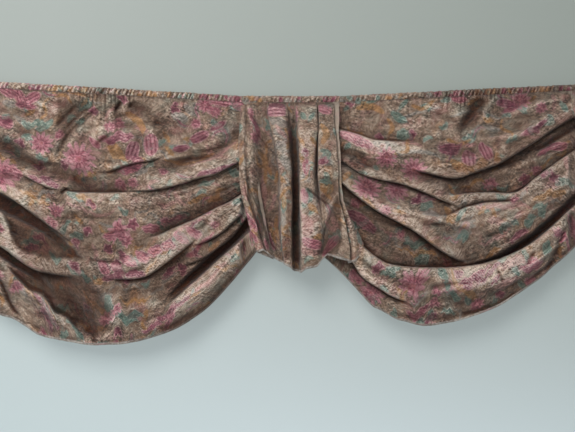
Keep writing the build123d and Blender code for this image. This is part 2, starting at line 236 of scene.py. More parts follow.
LEFT_FACETS = [
    ([(3, 213), (20, 211), (40, 222), (60, 236), (82, 257), (60, 259), (36, 256), (20, 250), (12, 238)], 7, 0.78, 2.6),
    ([(-60, 172), (-25, 188), (0, 196), (18, 207), (30, 215), (22, 216), (4, 212), (-25, 204), (-60, 192)], 4, 0.92, 3.0),
    ([(14, 266), (30, 268), (60, 272), (88, 279), (102, 294), (111, 312), (108, 330), (94, 340), (84, 330), (72, 314), (58, 300), (40, 288), (24, 278)], 6, 0.66, 5.5),
    ([(78, 308), (95, 312), (100, 334), (93, 341)], 3, 0.90, 3.0),
    ([(72, 176), (96, 175), (110, 186), (100, 191), (80, 189)], 3, 0.42, 5.0),
    ([(-50, 124), (8, 138), (34, 156), (40, 166), (8, 158), (-50, 150)], 3, 0.50, 6.0),
    ([(60, 168), (100, 176), (150, 182), (130, 188), (90, 190), (66, 184)], 2, 0.14, 7.0),
    ([(28, 204), (50, 210), (72, 226), (90, 246), (86, 256), (70, 241), (50, 226), (30, 212)], 0, 0.34, 4.0),
    ([(8, 184), (30, 190), (52, 199), (60, 207), (40, 204), (14, 195)], -1, -0.34, 4.0),
    ([(166, 258), (190, 252), (222, 232), (240, 217), (247, 216), (232, 238), (205, 262), (172, 294), (160, 304), (152, 290)], 2, 0.42, 5.0),
    ([(156, 226), (176, 212), (205, 196), (238, 182), (250, 178), (250, 190), (228, 203), (196, 219), (168, 231), (148, 237)], 3, 0.50, 5.0),
    ([(160, 328), (194, 311), (219, 290), (246, 261), (258, 250), (262, 254), (234, 286), (205, 313), (170, 334)], 1, 0.74, 2.4),
    ([(88, 136), (95, 122), (111, 112), (119, 117), (113, 129), (104, 139), (95, 147)], -2, -0.48, 4.0),
    ([(34, 100), (54, 98), (60, 112), (50, 132), (36, 130)], -1, -0.35, 7.0),
    ([(124, 252), (150, 247), (180, 240), (206, 224), (236, 205), (240, 212), (214, 232), (188, 252), (172, 262), (150, 268), (124, 264)], -2, -0.55, 4.0),
    ([(174, 306), (200, 284), (224, 261), (249, 238), (254, 246), (230, 272), (206, 294), (180, 313)], -1.5, -0.50, 3.5),
    ([(70, 200), (110, 202), (150, 196), (200, 184), (236, 172), (238, 178), (204, 192), (150, 206), (100, 212), (70, 208)], -1, -0.25, 5.0),
    ([(62, 258), (90, 262), (120, 262), (118, 268), (90, 270), (66, 266)], -1, -0.35, 4.0),
    ([(2, 220), (10, 226), (16, 244), (10, 246), (0, 234)], -2, -0.4, 2.5),
    ([(60, 104), (86, 99), (84, 110), (75, 125), (65, 144), (58, 150), (61, 130), (57, 118)], 2, 0.52, 3.5),
    ([(112, 114), (122, 112), (126, 128), (118, 134), (113, 126)], 1.5, 0.42, 3.0),
    ([(158, 108), (170, 112), (176, 132), (168, 140), (160, 126)], 1, 0.35, 5.0),
    ([(0, 300), (26, 306), (44, 322), (30, 320), (4, 310)], -1, -0.30, 4.0),
]
RIGHT_FACETS = [
    ([(338, 147), (352, 157), (372, 171), (400, 180), (430, 183), (452, 178), (440, 171), (410, 169), (385, 165), (360, 153)], 3, 0.45, 4.0),
    ([(348, 192), (372, 211), (396, 224), (416, 235), (434, 248), (454, 262), (440, 266), (410, 265), (388, 258), (370, 242), (354, 222)], 5, 0.16, 4.0),
    ([(348, 192), (372, 211), (394, 224), (402, 238), (390, 248), (370, 240), (354, 222)], 0, 0.42, 5.0),
    ([(340, 149), (352, 155), (372, 167), (362, 171), (346, 163), (339, 158)], 3, 0.70, 2.2),
    ([(436, 167), (470, 163), (500, 151), (530, 135), (560, 117), (575, 109), (575, 117), (540, 139), (510, 157), (480, 170), (450, 176)], 0, 0.54, 3.0),
    ([(500, 296), (530, 276), (556, 255), (578, 234), (580, 244), (556, 266), (530, 287), (504, 304)], 1, 0.50, 3.0),
    ([(404, 312), (440, 314), (470, 306), (500, 294), (519, 287), (519, 294), (490, 310), (464, 317), (430, 320), (408, 317)], 1, 0.44, 2.4),
    ([(500, 166), (530, 149), (560, 131), (604, 108), (604, 116), (566, 133), (536, 151), (510, 168)], 3, 0.66, 3.0),
    ([(486, 178), (520, 170), (552, 154), (560, 158), (536, 172), (516, 188), (496, 190)], 1, 0.20, 6.0),
    ([(450, 184), (500, 176), (512, 188), (500, 193), (460, 193)], 2, 0.26, 5.0),
    ([(484, 262), (502, 251), (516, 243), (530, 233), (547, 218), (563, 202), (575, 190), (604, 166), (604, 184), (575, 205), (553, 226), (531, 244), (505, 257), (490, 263)], 3, 0.66, 2.4),
    ([(340, 104), (352, 108), (350, 124), (340, 126)], 2, 0.40, 4.0),
    ([(474, 96), (490, 98), (487, 112), (474, 127), (458, 134), (463, 120)], 2, 0.62, 4.0),
    ([(432, 234), (446, 236), (450, 246), (438, 246)], 2, 0.35, 5.0),
    ([(510, 94), (560, 92), (556, 100), (516, 102)], 1, 0.30, 5.0),
    ([(462, 312.5), (490, 304.5), (514, 293), (519, 294), (490, 310), (464, 317)], 2, 0.95, 1.2),
    ([(420, 298), (470, 292), (510, 280), (550, 256), (556, 262), (512, 290), (470, 304), (424, 310)], 0.5, 0.26, 8.0),
    ([(342, 132), (370, 138), (410, 142), (424, 150), (400, 157), (372, 155), (350, 146)], -2, -0.55, 4.0),
    ([(452, 208), (480, 206), (520, 204), (530, 212), (510, 226), (470, 226), (450, 220)], -2, -0.55, 6.0),
    ([(452, 272), (490, 268), (516, 260), (534, 250), (544, 252), (530, 270), (510, 281), (480, 289), (452, 288)], -2, -0.66, 5.0),
    ([(524, 200), (546, 184), (575, 162), (604, 144), (604, 160), (572, 182), (546, 202), (526, 212)], -2, -0.45, 5.0),
    ([(430, 100), (460, 104), (462, 118), (440, 128), (420, 132), (400, 126)], -1, -0.30, 7.0),
    ([(360, 196), (390, 206), (420, 214), (440, 220), (420, 224), (390, 216), (366, 206)], -1, -0.30, 4.0),
    ([(346, 200), (358, 204), (378, 216), (376, 228), (360, 222), (348, 212)], 1, 0.40, 4.0),
]
TAIL_FACETS = [
    ([(338, 196), (341, 204), (341, 240), (338, 254), (317, 255), (322, 236), (330, 213)], 4, 0.58, 1.6),
    ([(250, 136), (266, 132), (276, 156), (278, 200), (278, 240), (266, 252), (258, 238), (252, 196)], 1, 0.30, 5.0),
    ([(258, 196), (264, 206), (264, 236), (260, 240), (256, 218)], 2, 0.85, 1.6),
    ([(284, 122), (290, 120), (299, 150), (299.5, 262), (283, 258), (287, 200), (291, 168)], 1, 0.60, 2.5),
    ([(292.5, 140), (299, 140), (299.5, 262), (292, 262)], 3, 0.45, 1.4),
    ([(300, 192), (316, 200), (322, 214), (316, 236), (306, 250), (300, 252)], -1, -0.51, 3.0),
    ([(299.5, 132), (312, 128), (313, 170), (300, 178)], -1, -0.37, 3.0),
    ([(321, 130), (333, 132), (335, 175), (322, 180)], -1, -0.10, 3.0),
    ([(275, 124), (283, 126), (291, 168), (288, 196), (281, 190), (278, 150)], 0.5, 0.10, 2.5),
    ([(243.5, 118), (249, 130), (250, 170), (244, 168), (243, 140)], -1, -0.31, 1.5),
    ([(243.4, 186), (246.8, 186), (248.4, 196), (256.4, 217), (259.8, 236), (258.4, 236), (254, 217), (246.2, 197)], -0.5, -0.45, 0.9),
    ([(240.2, 169), (241.4, 169), (247.4, 194), (257.2, 221), (262.2, 240), (261, 242), (255.4, 221.5), (246, 195.5)], 1.5, 0.92, 0.7),
    ([(248, 186), (249.2, 186), (254.2, 198), (261.4, 215), (262.8, 238), (261.6, 238), (260, 216), (252.8, 199)], 1, 0.85, 0.7),
    ([(257.6, 134.8), (258.6, 134.4), (268, 146.6), (277.8, 156.2), (277.2, 158.2), (266.8, 148.6)], 0.8, 0.75, 0.8),
    ([(242.4, 108.4), (243.4, 108), (253, 117), (260, 128), (259, 128.6), (252, 118.4)], 0.8, 0.62, 0.9),
    ([(266.4, 238.4), (268, 238.6), (276.4, 247), (277.2, 251), (274.6, 248.6), (268.6, 242)], 1.5, 0.85, 0.9),
    ([(307.5, 187.6), (314, 192), (321, 198), (327.4, 203), (327, 205.4), (320.4, 200.4), (313.4, 194.4), (307.2, 189.8)], 1.5, 0.95, 0.6),
    ([(327.2, 203.4), (331, 198.2), (337.6, 186.6), (339, 187.6), (332.4, 199.6), (328, 205.2)], 1, 0.62, 0.7),
    ([(318.5, 178), (326, 176), (337, 180), (337.5, 187), (330.5, 198), (326.8, 202.5), (321, 198), (318.5, 194)], 2, 0.38, 1.6),
    ([(301, 203), (312, 198), (322, 206), (327, 208), (322, 226), (314, 240), (303, 240)], -1, -0.42, 2.0),
    ([(286.6, 107.6), (287.6, 107.6), (289.8, 112), (289.2, 120), (288.4, 120), (288.4, 112.6)], 0.8, 0.72, 0.7),
    ([(291.2, 108), (292.2, 108), (294, 113), (293.4, 119), (292.6, 119), (292.8, 113)], 0.8, 0.66, 0.7),
    ([(296.4, 107.6), (297.4, 107.6), (300.4, 111.6), (302.6, 117), (301.6, 117), (299.4, 112)], 0.8, 0.62, 0.7),
]


LEFT_FOLDS = [
    ("valley", [(146, 170), (170, 167), (192, 160), (213, 152), (226, 144), (240, 134), (252, 124)], 8, 7, 5, 0, .3, .1),
    ("edge", [(92, 172), (108, 171), (128, 164), (156, 158.5), (172, 151)], 3.5, 6, 5, .6, .35, .3),
    ("lip", [(62, 189), (72, 193), (95, 194), (127, 193), (153, 187.5)], 6, 9, 9, 1.0, .12, .4),
    ("edge", [(112, 194), (153, 187.5), (178, 182), (200, 175), (213, 172), (228, 165), (252, 152)], 8.5, 12, 6, 2.2, .35, .05),
    ("valley", [(215, 193), (226, 186), (240, 172), (250, 160)], 4, 5, 5, 0, .3, .1),
    ("lip", [(140, 239), (156, 237), (174, 230), (197, 220), (216, 210), (231, 203), (252, 189)], 8.5, 10, 10, 1.6, .3, .05),
    ("edge", [(188, 248), (204, 241), (223, 230), (242, 212), (255, 200)], 6, 7, 5, 1.2, .3, .05),
    ("gap", [(152, 309), (166, 300), (182, 286), (200, 270), (218, 253), (236, 236), (249, 222), (258, 211)], 15, 4.6, 2.2, 0, .5, .05),
    ("lip", [(158, 314), (172, 302), (186, 290), (204, 274.5), (222, 258), (236, 246), (248, 235), (258, 224)], 9, 12, 8, 1.0, .3, .05),
    ("edge", [(176, 268), (197, 259), (216, 247), (233, 234), (246, 216), (258, 200)], 6, 9, 6, 2.0, .3, .05),
    ("ridge", [(150, 325), (170, 314), (189, 301), (212, 282), (232, 262), (247, 246), (258, 234)], 9, 9, 8, 0, .35, .05),
    ("valley", [(196, 306), (212, 295), (227, 279), (240, 262), (254, 246)], 1.6, 1.2, 1.2, 0, .2, .1),
    ("valley", [(-60, 118), (-30, 128), (0, 143), (35, 166), (63, 175), (104, 192)], 10, 10, 9, 0, .05, .25),
    ("edge", [(18, 172), (27, 176.5), (40, 183), (52, 188), (62, 189.5)], 4, 6, 3, .8, .3, .3),
    ("valley", [(60, 194.5), (64, 191.5), (69, 187.5)], 5, 1.8, 1.8, 0, .3, .3),
    ("edge", [(-60, 166), (-25, 180), (0, 190.5), (16.6, 200), (33, 212.5), (45.6, 221.5), (58, 230), (75, 245), (86, 258)], 8, 12, 5, 1.4, .05, .3),
    ("gap", [(-60, 176), (-25, 190), (0, 202), (20, 212), (37, 222), (52, 234), (66, 246), (82, 260)], 15, 7.5, 1.8, 0, .05, .55),
    ("ridge", [(-2, 208), (8, 228), (15, 243)], 5, 3, 5, 0, .2, .3),
    ("edge", [(-60, 214), (-30, 228), (0, 242), (16.6, 254.5), (33, 265), (50, 271), (66, 275), (84, 278)], 11, 13, 9, 3.0, .05, .35),
    ("gap", [(-60, 222), (-30, 236), (0, 250), (18, 262), (33, 273), (46, 284), (54, 294)], 13, 6, 1.8, 0, .05, .45),
    ("edge", [(80, 333), (68, 317), (56, 311), (49, 301), (42, 293), (30, 288), (16, 275), (4, 262)], 8, 7, 26, 1.0, .15, .2),
    ("valley", [(64, 280), (74, 300), (84, 322), (93, 338)], 6, 10, 9, 0, .3, .15),
    ("ridge", [(110, 283), (114, 306), (112, 330)], 4, 9, 12, 0, .3, .2),
    ("valley", [(-14, 268), (0, 281), (6, 292), (12, 306), (24, 320)], 6, 2.6, 2.6, 0, .2, .2),
    ("valley", [(-50, 262), (-34, 276), (-22, 296)], 5, 4, 4, 0, .2, .3),
    ("ridge", [(96, 274), (110, 269), (148, 259), (168, 248), (186, 238), (204, 226)], 8, 9, 7, 0, .25, .2),
    ("edge", [(98, 279), (120, 278), (145, 275), (165, 262), (182, 249), (206, 232)], 6, 5, 7, 1.4, .3, .3),
    ("ridge", [(184, 260), (198, 240), (212, 222), (226, 206)], 3, 3, 3, 0, .25, .2),
    ("valley", [(84, 259), (100, 261), (116, 262), (132, 267)], 2.5, 1.5, 2, 0, .25, .25),
    ("valley", [(10, 111), (30, 111.5), (54, 113.5)], 1.8, 1.6, 1.8, 0, .3, .3),
    ("edge", [(52, 163), (60, 146), (70, 131), (84, 117), (104, 103)], 2.0, 3.0, 3, .15, .35, .2),
    ("valley", [(97, 103), (84, 112), (70, 124), (60, 140)], 2.6, 1.5, 1.5, 0, .2, .3),
    ("valley", [(78, 104), (70, 112), (60, 122), (50, 134)], 3, 2.5, 2.0, 0, .1, .4),
    ("ridge", [(104, 112), (88, 124), (74, 138), (62, 158)], 3, 4, 4, 0, .2, .3),
    ("valley", [(122, 101), (118, 107), (113, 114)], 5, 2, 2, 0, .1, .4),
    ("valley", [(135, 100), (132, 104), (127, 109)], 4, 2, 2, 0, .1, .4),
    ("ridge", [(126, 100), (124, 108), (120, 117)], 3, 3, 3, 0, .1, .4),
    ("valley", [(132, 101), (145, 111), (158, 123), (163, 137), (163, 152)], 5, 6, 8, 0, .1, .4),
    ("valley", [(112, 133), (104, 138), (93, 146)], 3, 2.2, 2.2, 0, .3, .3),
    ("ridge", [(112, 120), (122, 133), (130, 150)], 4, 9, 9, 0, .3, .3),
    ("valley", [(20, 214), (60, 216), (100, 214), (140, 210), (178, 200), (214, 190)], 2.5, 5, 6, 0, .3, .2),
    ("valley", [(110, 300), (140, 292), (168, 276)], 3.5, 5, 6, 0, .3, .3),
    ("valley", [(2, 316), (26, 322), (54, 334.5), (91, 340.5), (121, 339.5), (150, 333.5), (178, 323), (200, 309)], 1.6, 1.3, 1.3, 0, .1, .2),
]

RIGHT_FOLDS = [
    ("lip", [(330, 127), (340, 130), (358, 135), (373.5, 140.5), (397, 142), (420, 140)], 4.5, 4, 8, .8, .05, .4),
    ("valley", [(328, 144), (340, 150), (357, 157), (378, 173)], 7, 5, 4, 0, .05, .4),
    ("edge", [(326, 150), (340, 158), (365, 173), (400, 181), (425, 190), (445, 200), (464, 210)], 8.5, 10, 5, 2.0, .05, .25),
    ("ridge", [(372, 202), (392, 207), (417, 213.6), (433.5, 218.6), (456, 224), (486, 226)], 4, 5, 3, 0, .3, .35),
    ("edge", [(330, 170), (348, 187), (374, 207), (396, 219), (414, 229), (433, 243), (452, 256), (470, 265)], 10.5, 13, 6, 1.6, .05, .2),
    ("lip", [(338, 214), (350, 232), (363, 248), (380, 262), (398, 268), (435, 270), (467, 268.5), (488, 264.5), (510, 257), (531, 246), (553, 228), (575, 208), (604, 188)], 9.5, 9, 9, 1.8, .1, .04),
    ("gap", [(455, 266), (484, 262.5), (505, 255), (528, 241), (549, 224), (575, 200), (604, 180)], 12, 3.6, 2.0, 0, .4, .05),
    ("gap", [(515, 165), (535, 152), (556, 139), (580, 126), (604, 115)], 6, 2.6, 2.4, 0, .5, .05),
    ("ridge", [(400, 292), (436, 284), (475, 280), (508, 272), (534, 260), (556, 243), (580, 222), (604, 205)], 8, 10, 11, 0, .3, .05),
    ("edge", [(336, 238), (352, 259), (363, 275), (380, 286), (394, 295), (410, 304)], 8.5, 9, 6, 2.2, .1, .25),
    ("valley", [(574, 210), (566, 228), (558, 246), (550, 264), (545, 276)], 6, 4, 3, 0, .15, .2),
    ("lip", [(440, 218), (452, 214), (470, 207), (491, 203), (522, 202)], 5, 4, 9, .8, .3, .35),
    ("lip", [(436, 193), (455, 195), (488, 194), (516, 194), (535, 180), (554, 166), (575, 152), (604, 136)], 7.5, 9, 10, 1.4, .25, .05),
    ("edge", [(400, 166), (427, 172), (455, 176), (473, 171), (498, 162), (517, 151), (535, 140), (554, 127), (575, 115), (604, 104)], 9, 12, 8, 1.8, .25, .05),
    ("ridge", [(500, 119), (523, 110), (542, 103), (566, 95)], 5, 5, 4, 0, .3, .1),
    ("ridge", [(494, 137), (517, 134.6), (539, 123), (560, 112)], 4.5, 5, 4, 0, .3, .2),
    ("valley", [(482, 97), (477, 106), (467, 120), (454, 134)], 8, 4, 5, 0, .08, .35),
    ("ridge", [(492, 98), (486, 108), (478, 122)], 4, 5, 5, 0, .08, .4),
    ("ridge", [(420, 143), (430, 138), (444, 132)], 3, 3, 3, 0, .3, .3),
    ("valley", [(430, 113), (450, 118), (462, 126)], 2.5, 4, 4, 0, .3, .3),
    ("valley", [(495, 264), (500, 274), (504, 284)], 3, 1.6, 2.0, 0, .3, .4),
    ("valley", [(536, 250), (531, 258), (526, 266)], 3.5, 2, 2.4, 0, .3, .3),
    ("valley", [(350, 176), (375, 190), (402, 197), (428, 206)], 2.8, 4, 4, 0, .2, .3),
    ("valley", [(362, 222), (384, 236), (410, 248), (432, 255)], 3, 4, 5, 0, .2, .3),
    ("ridge", [(520, 222), (540, 206), (560, 190), (585, 172)], 4, 6, 6, 0, .3, .1),
    ("valley", [(480, 240), (500, 232), (520, 220)], 3, 4, 5, 0, .3, .3),
    ("valley", [(352, 284), (372, 302), (396, 314), (423, 320), (461, 315), (498, 301), (529, 280), (556, 257)], 1.8, 1.3, 1.3, 0, .2, .2),
]

LEFT_HEM = [(-66, 258), (-52, 272), (-34, 288), (-16, 303), (0, 314), (12.8, 317.8), (25.5, 325.4), (38, 333.7), (53.6, 338), (71.8, 341.3), (90.9, 344.2), (110, 343.7), (121, 343.3), (140, 340), (159.4, 334.3), (178.6, 326.7), (200, 313), (213.8, 301), (230, 283.3), (244.4, 266), (256.8, 250.8), (264, 241)]
RIGHT_HEM = [(316, 250), (330, 261.5), (343, 274), (357, 289), (372, 305), (380, 309), (396, 318), (405, 320.5), (423.5, 325), (442, 323), (461, 319), (479.5, 313), (498, 305.6), (514, 295.7), (529, 285.5), (542, 276), (554, 265), (565, 256), (577, 244), (592, 228), (603, 215)]


def swag_shape(name, u0, u1, header_u0, header_u1, hem_line, folds, facets, bunch, seed, du=1.42, rows=200):
    """A draped swag: a dense sheet whose folds follow the fold lines."""
    hem = soft_line(hem_line, 8)
    cols = int((u1 - u0) / du)
    uc = np.linspace(u0, u1, cols + 1)
    vh = np.interp(uc, hem[:, 0], hem[:, 1])
    vt = wire_v(uc) + 2.0
    # past the header's ends the cloth is folded in behind the tails
    tuck = np.maximum(0, np.maximum(header_u0 - uc, uc - header_u1))
    vt = vt + 22 * smooth(tuck / 14.0) + 0.4 * tuck
    t = np.linspace(0, 1, rows + 1)
    t = t + 0.04 * np.sin(2 * np.pi * t) / (2 * np.pi)
    u = np.repeat(uc[None], rows + 1, 0)
    v = vt[None] + (vh - vt)[None] * t[:, None]
    tt = (v - vt[None]) / (vh - vt)[None]
    across = (u - u0) / (u1 - u0)
    side = 0.30 + 0.70 * np.sin(np.pi * np.clip(across, 0.0, 1.0)) ** 0.75
    base = 3.5 + 41.0 * side * (1 - (1 - tt) ** 1.7) - 5.0 * side * smooth((tt - 0.86) / 0.14)
    forward, drop, shade = apply_folds(u, v, folds)
    n1, n2, n3 = Noise(seed), Noise(seed + 1), Noise(seed + 2)
    back, tone = apply_facets(u + 1.5 * n1(u / 9, v / 9), v + 1.5 * n2(u / 9, v / 9), facets)
    forward = forward - back
    along = tt * 235
    crumple = 2.2 * n1(u / 26 + 9, along / 8.5) + 1.3 * n2(u / 14, along / 6.0 + 3) + 0.9 * n3(u / 7, v / 7) + 0.35 * n1(u / 3.3, v / 3.3)
    ends = 1 - np.sin(np.pi * np.clip(across, 0, 1)) ** 0.8
    fine = 1 - 2 * np.abs(n1(u / 50 + 2, along / 4.4 + 11 + 0.7 * n3(u / 30, along / 20)))
    crumple += (1.3 + 3.4 * ends) * fine * smooth((tt - 0.1) / 0.2)
    crumple += 1.0 * n3(u / 40 + 21, along / 3.2)
    sharp = 1.0 - np.abs(n2(u / 19 + 0.35 * along / 19, along / 11 + 7)) * 2
    crumple += 1.5 * np.maximum(sharp, 0) ** 3
    # gathers fall from the casing and die out
    gather = np.zeros(u.shape)
    # painted shade: a dark slit beside each gather, where shade falls between the gathers
    gather_slit_shade = np.zeros(u.shape)
    near = np.exp(-(v - vt[None]) / 9.0)
    rng = np.random.default_rng(seed + 5)
    x = u0
    while x < u1:
        dense = math.exp(-(((x - bunch) / 34.0) ** 2))
        width = rng.uniform(1.6, 2.6) * (1 - 0.35 * dense)
        height = (2.0 + 4.2 * dense) * rng.uniform(0.5, 1.1)
        reach = rng.uniform(3.0, 9.0) + 14.0 * dense * rng.uniform(0.1, 1.0)
        lean = (x - bunch) / 34.0 * 0.35 * dense
        gather += height * np.exp(-(((u - x - lean * (v - vt[None])) / width) ** 2)) * np.exp(-(v - vt[None]) / reach)
        amp = rng.uniform(0.10, 0.40) + 0.65 * dense * rng.uniform(0.5, 1.0)
        gather_slit_shade += amp * np.exp(-(((u - x - 0.95 * width - lean * (v - vt[None])) / 0.95) ** 2)) * np.exp(-(v - vt[None]) / (0.7 * reach + 1.0))
        x += width * rng.uniform(1.5, 2.4)
    fade_top = smooth((v - vt[None]) / 12.0)
    total = base + forward * side ** 0.5 * fade_top + crumple * (0.25 + 0.75 * fade_top) * side + gather
    # stay behind the tails at both ends
    limit = 17.0 + 9.0 * tt + 60.0 * smooth(np.minimum(u - header_u0 - 2, header_u1 - 2 - u) / 16.0 + 0.25)
    total = np.where(total > limit, limit + (total - limit) * 0.12, total)
    total = np.where(total > 60, 60 + (total - 60) * 0.3, total)
    drop_in = v - vt[None]
    total = total + 2.6 * smooth(drop_in / 2.5) * np.exp(-drop_in / 14.0)
    total = np.clip(total, 3.2 - 7.0 * smooth((drop_in - 6) / 10.0), 69.0)
    y = -total / 1000.0
    # painted shade: darker in recesses, below fold lines, on shaded facets, in narrow hollows near the casing and in
    # the slits between gathers
    dark = np.clip(np.maximum(cavity(total), shade * fade_top) + 0.3 * shade * fade_top, 0, 1)
    dark = np.clip(1 - (1 - dark) * (1 - np.maximum(tone, 0)), 0, 1)
    slit_shade = np.clip((blur(total, 1) - total) / 0.55, 0, 1) * np.exp(-(v - vt[None]) / 11.0)
    slit_shade = slit_shade * (0.45 + 0.55 * np.exp(-(((u - bunch) / 34.0) ** 2)))
    dark = 1 - (1 - dark) * (1 - 0.9 * slit_shade) * (1 - np.clip(gather_slit_shade, 0, 0.92))
    # painted highlight: lighter on crests and on pale facets
    pale = np.clip(crest(total) + np.maximum(-tone, 0) * 1.6, 0, 2.2)
    drop = drop * fade_top * smooth((1 - tt) / 0.05)
    pts = to_world(u, v + drop, y)
    return {"name": name, "p": pts, "u": u, "v": v, "dark": dark, "pale": pale}


# -------------------------------------------------------------------- tails
LEVELS = [102.2, 115, 130, 150, 175, 200, 225, 245, 262]
# each edge of the folded cloth: its place across the view at each level, its depth (mm) there, and where it meets the hem
TAIL_EDGES = [
    ([250, 252, 254, 256, 258, 262, 266, 270, 274], [3, 10, 20, 28, 33, 36, 38, 38, 38], 258),
    ([241.5, 240, 239, 238, 239, 242.5, 248.5, 254, 262], [5, 14, 27, 37, 44, 48, 50, 50, 50], 252),
    ([244.5, 243.5, 243, 242.5, 244, 248, 256, 261, 267], [9, 19, 31, 41, 48, 51, 53, 53, 52], 250),
    ([246, 246, 246.5, 246.5, 247, 250.5, 258.5, 264, 270], [6, 15, 26, 34, 40, 43, 45, 46, 46], 252),
    ([249, 250, 252, 253, 251.5, 253.5, 262, 266.5, 272], [9, 20, 31, 40, 46, 49, 51, 51, 50], 254),
    ([257, 258, 260, 262, 262, 263, 267, 271, 276], [6, 12, 18, 23, 27, 30, 33, 36, 40], 258),
    ([266, 267, 270, 273.5, 277.5, 278, 279, 281, 283], [5, 10, 18, 24, 29, 33, 36, 38, 40], 262),
    ([268.5, 269, 271.5, 276, 280.5, 280.5, 281, 282, 285], [9, 20, 32, 42, 50, 55, 58, 58, 56], 264),
    ([276, 277, 279.5, 283, 287, 287, 287, 288, 291], [11, 25, 37, 47, 55, 60, 62, 61, 58], 266.5),
    ([284, 285, 287, 289.5, 291.8, 292.0, 291.5, 291.5, 292.5], [9, 21, 32, 43, 51, 57, 59, 58, 55], 268.5),
    ([289, 290, 291.5, 292.6, 293.4, 293.6, 293.2, 293.4, 294.6], [5, 10, 13, 17, 21, 24, 27, 30, 33], 270),
    ([294, 294.6, 296, 297.2, 298.2, 298.4, 298.8, 299.4, 299.4], [4, 9, 12, 16, 20, 24, 27, 30, 34], 271),
    ([296.5, 297, 298.5, 299.5, 299.5, 300, 301.5, 302, 301], [9, 21, 34, 46, 54, 60, 62, 61, 59], 272),
    ([306, 307, 308.5, 307.5, 306.5, 308, 310, 310, 307], [11, 24, 36, 47, 55, 61, 63, 62, 60], 268),
    ([316, 317, 317.8, 315, 312.8, 315.5, 319.5, 321, 317], [10, 22, 34, 45, 53, 58, 60, 59, 57], 265.5),
    ([317.5, 317.8, 317.5, 317, 317.3, 319.5, 324, 325, 321], [4, 11, 18, 24, 30, 45, 55, 55, 54], 260),
    ([319, 319.3, 319, 318.5, 318.8, 321, 327, 329, 327], [9, 21, 33, 44, 51, 55, 56, 55, 54], 254.5),
    ([327, 328, 328, 328, 328, 331, 336, 338, 337], [10, 23, 34, 44, 52, 57, 59, 58, 57], 257.5),
    ([334, 334.5, 335, 336.5, 338, 339.5, 346, 349.5, 350], [9, 20, 32, 42, 50, 54, 56, 55, 54], 261),
    ([334, 334, 334, 335, 336, 337, 343, 347, 348], [4, 10, 17, 24, 30, 34, 38, 40, 41], 262),
    ([339.5, 338.7, 338.3, 339.8, 341, 343, 351.5, 354, 354], [7, 15, 26, 35, 41, 45, 49, 50, 50], 261),
    ([333, 330, 328, 328, 329, 338, 355, 364, 358], [3, 8, 16, 22, 28, 33, 38, 41, 41], 255),
]


def tail_shape(name, edges, levels, seed, rows=150, step=1.25, facets=()):
    """A pleated tail: the cloth's folded edges are laid out level by level."""
    lv = np.array(levels, float)
    eu = np.array([e[0] for e in edges], float)
    ey = np.array([e[1] for e in edges], float)
    eh = np.array([e[2] for e in edges], float)
    mid = 4
    span = np.hypot(np.diff(eu[:, mid]) * 2, np.diff(ey[:, mid]) * 1.0)
    counts = np.maximum(5, (span / (2 * step)).astype(int))
    k_of = np.concatenate([i + np.linspace(0, 1, c, endpoint=False) for i, c in enumerate(counts)] + [[len(edges) - 1]])
    k_of = k_of.clip(0, len(edges) - 1)

    def across(values):
        """Rounded interpolation of an edge value over the cloth's width."""
        p = np.concatenate([[2 * values[0] - values[1]], values, [2 * values[-1] - values[-2]]])
        i = np.minimum(k_of.astype(int), len(edges) - 2)
        t = k_of - i
        a, b, c, d = p[i], p[i + 1], p[i + 2], p[i + 3]
        m0, m1 = 0.30 * (c - a), 0.30 * (d - b)
        return (2 * t**3 - 3 * t**2 + 1) * b + (t**3 - 2 * t**2 + t) * m0 + (-2 * t**3 + 3 * t**2) * c + (t**3 - t**2) * m1

    hem = across(eh)
    top = across(eu[:, 0])
    rng = np.random.default_rng(seed)
    n1, n2 = Noise(seed + 1), Noise(seed + 2)
    tau = np.linspace(0, 1, rows + 1)
    U = np.zeros((rows + 1, len(k_of)))
    V = np.zeros_like(U)
    Y = np.zeros_like(U)
    for r, t in enumerate(tau):
        v_edge = lv[0] + (eh - lv[0]) * t
        uu = np.array([np.interp(v_edge[k], lv, eu[k]) for k in range(len(edges))])
        yy = np.array([np.interp(v_edge[k], lv, ey[k]) for k in range(len(edges))])
        U[r], Y[r] = across(uu), across(yy)
        V[r] = lv[0] + (hem - lv[0]) * t
    for _ in range(3):  # take the corners of the level tables out
        U[1:-1] = (U[:-2] + 2 * U[1:-1] + U[2:]) / 4
        Y[1:-1] = (Y[:-2] + 2 * Y[1:-1] + Y[2:]) / 4
    kk = np.repeat(k_of[None], rows + 1, 0) * 6.0
    depth = (V - lv[0])
    calm = smooth(depth / 14.0)
    Y = Y + calm * (1.1 * n1(kk / 5, V / 13) + 0.8 * n2(kk / 3, V / 6) + 0.3 * n1(kk / 1.3, V / 2.4))
    U = U + calm * (0.45 * n2(kk / 6 + 5, V / 17) + 0.2 * n1(kk / 3 + 9, V / 6))
    # gathers under the casing
    g = np.zeros_like(Y)
    w = U[0].min()
    while w < U[0].max():
        width = rng.uniform(1.1, 1.9)
        g += rng.uniform(0.8, 2.2) * np.exp(-(((U - w) / width) ** 2)) * np.exp(-depth / rng.uniform(5, 13))
        w += width * rng.uniform(1.5, 2.2)
    Y = Y + g
    back, tone = apply_facets(U + 0.5 * n1(kk / 4, V / 9), V, facets)
    Y = Y - back * smooth(depth / 20)
    into = smooth(depth / 6.0)
    Y = Y * into + 4.4 * (1 - into)
    V = V + 0.7 * smooth((V - hem[None] + 10) / 10) * n1(kk / 2.2 + 3, 0.5)
    Y = np.clip(Y, 1.5, 68)
    # painted shade in recesses and on shaded facets, with a little everywhere; painted highlight on crests and pale
    # facets
    dark = 0.84 * np.clip(1 - (1 - cavity(Y)) * (1 - np.maximum(tone, 0)), 0, 1) + 0.07
    pale = np.clip(crest(Y) + np.maximum(-tone, 0) * 1.6, 0, 2.2)
    return {"name": name, "u": U, "v": V, "y": -Y / 1000.0, "dark": dark, "pale": pale}


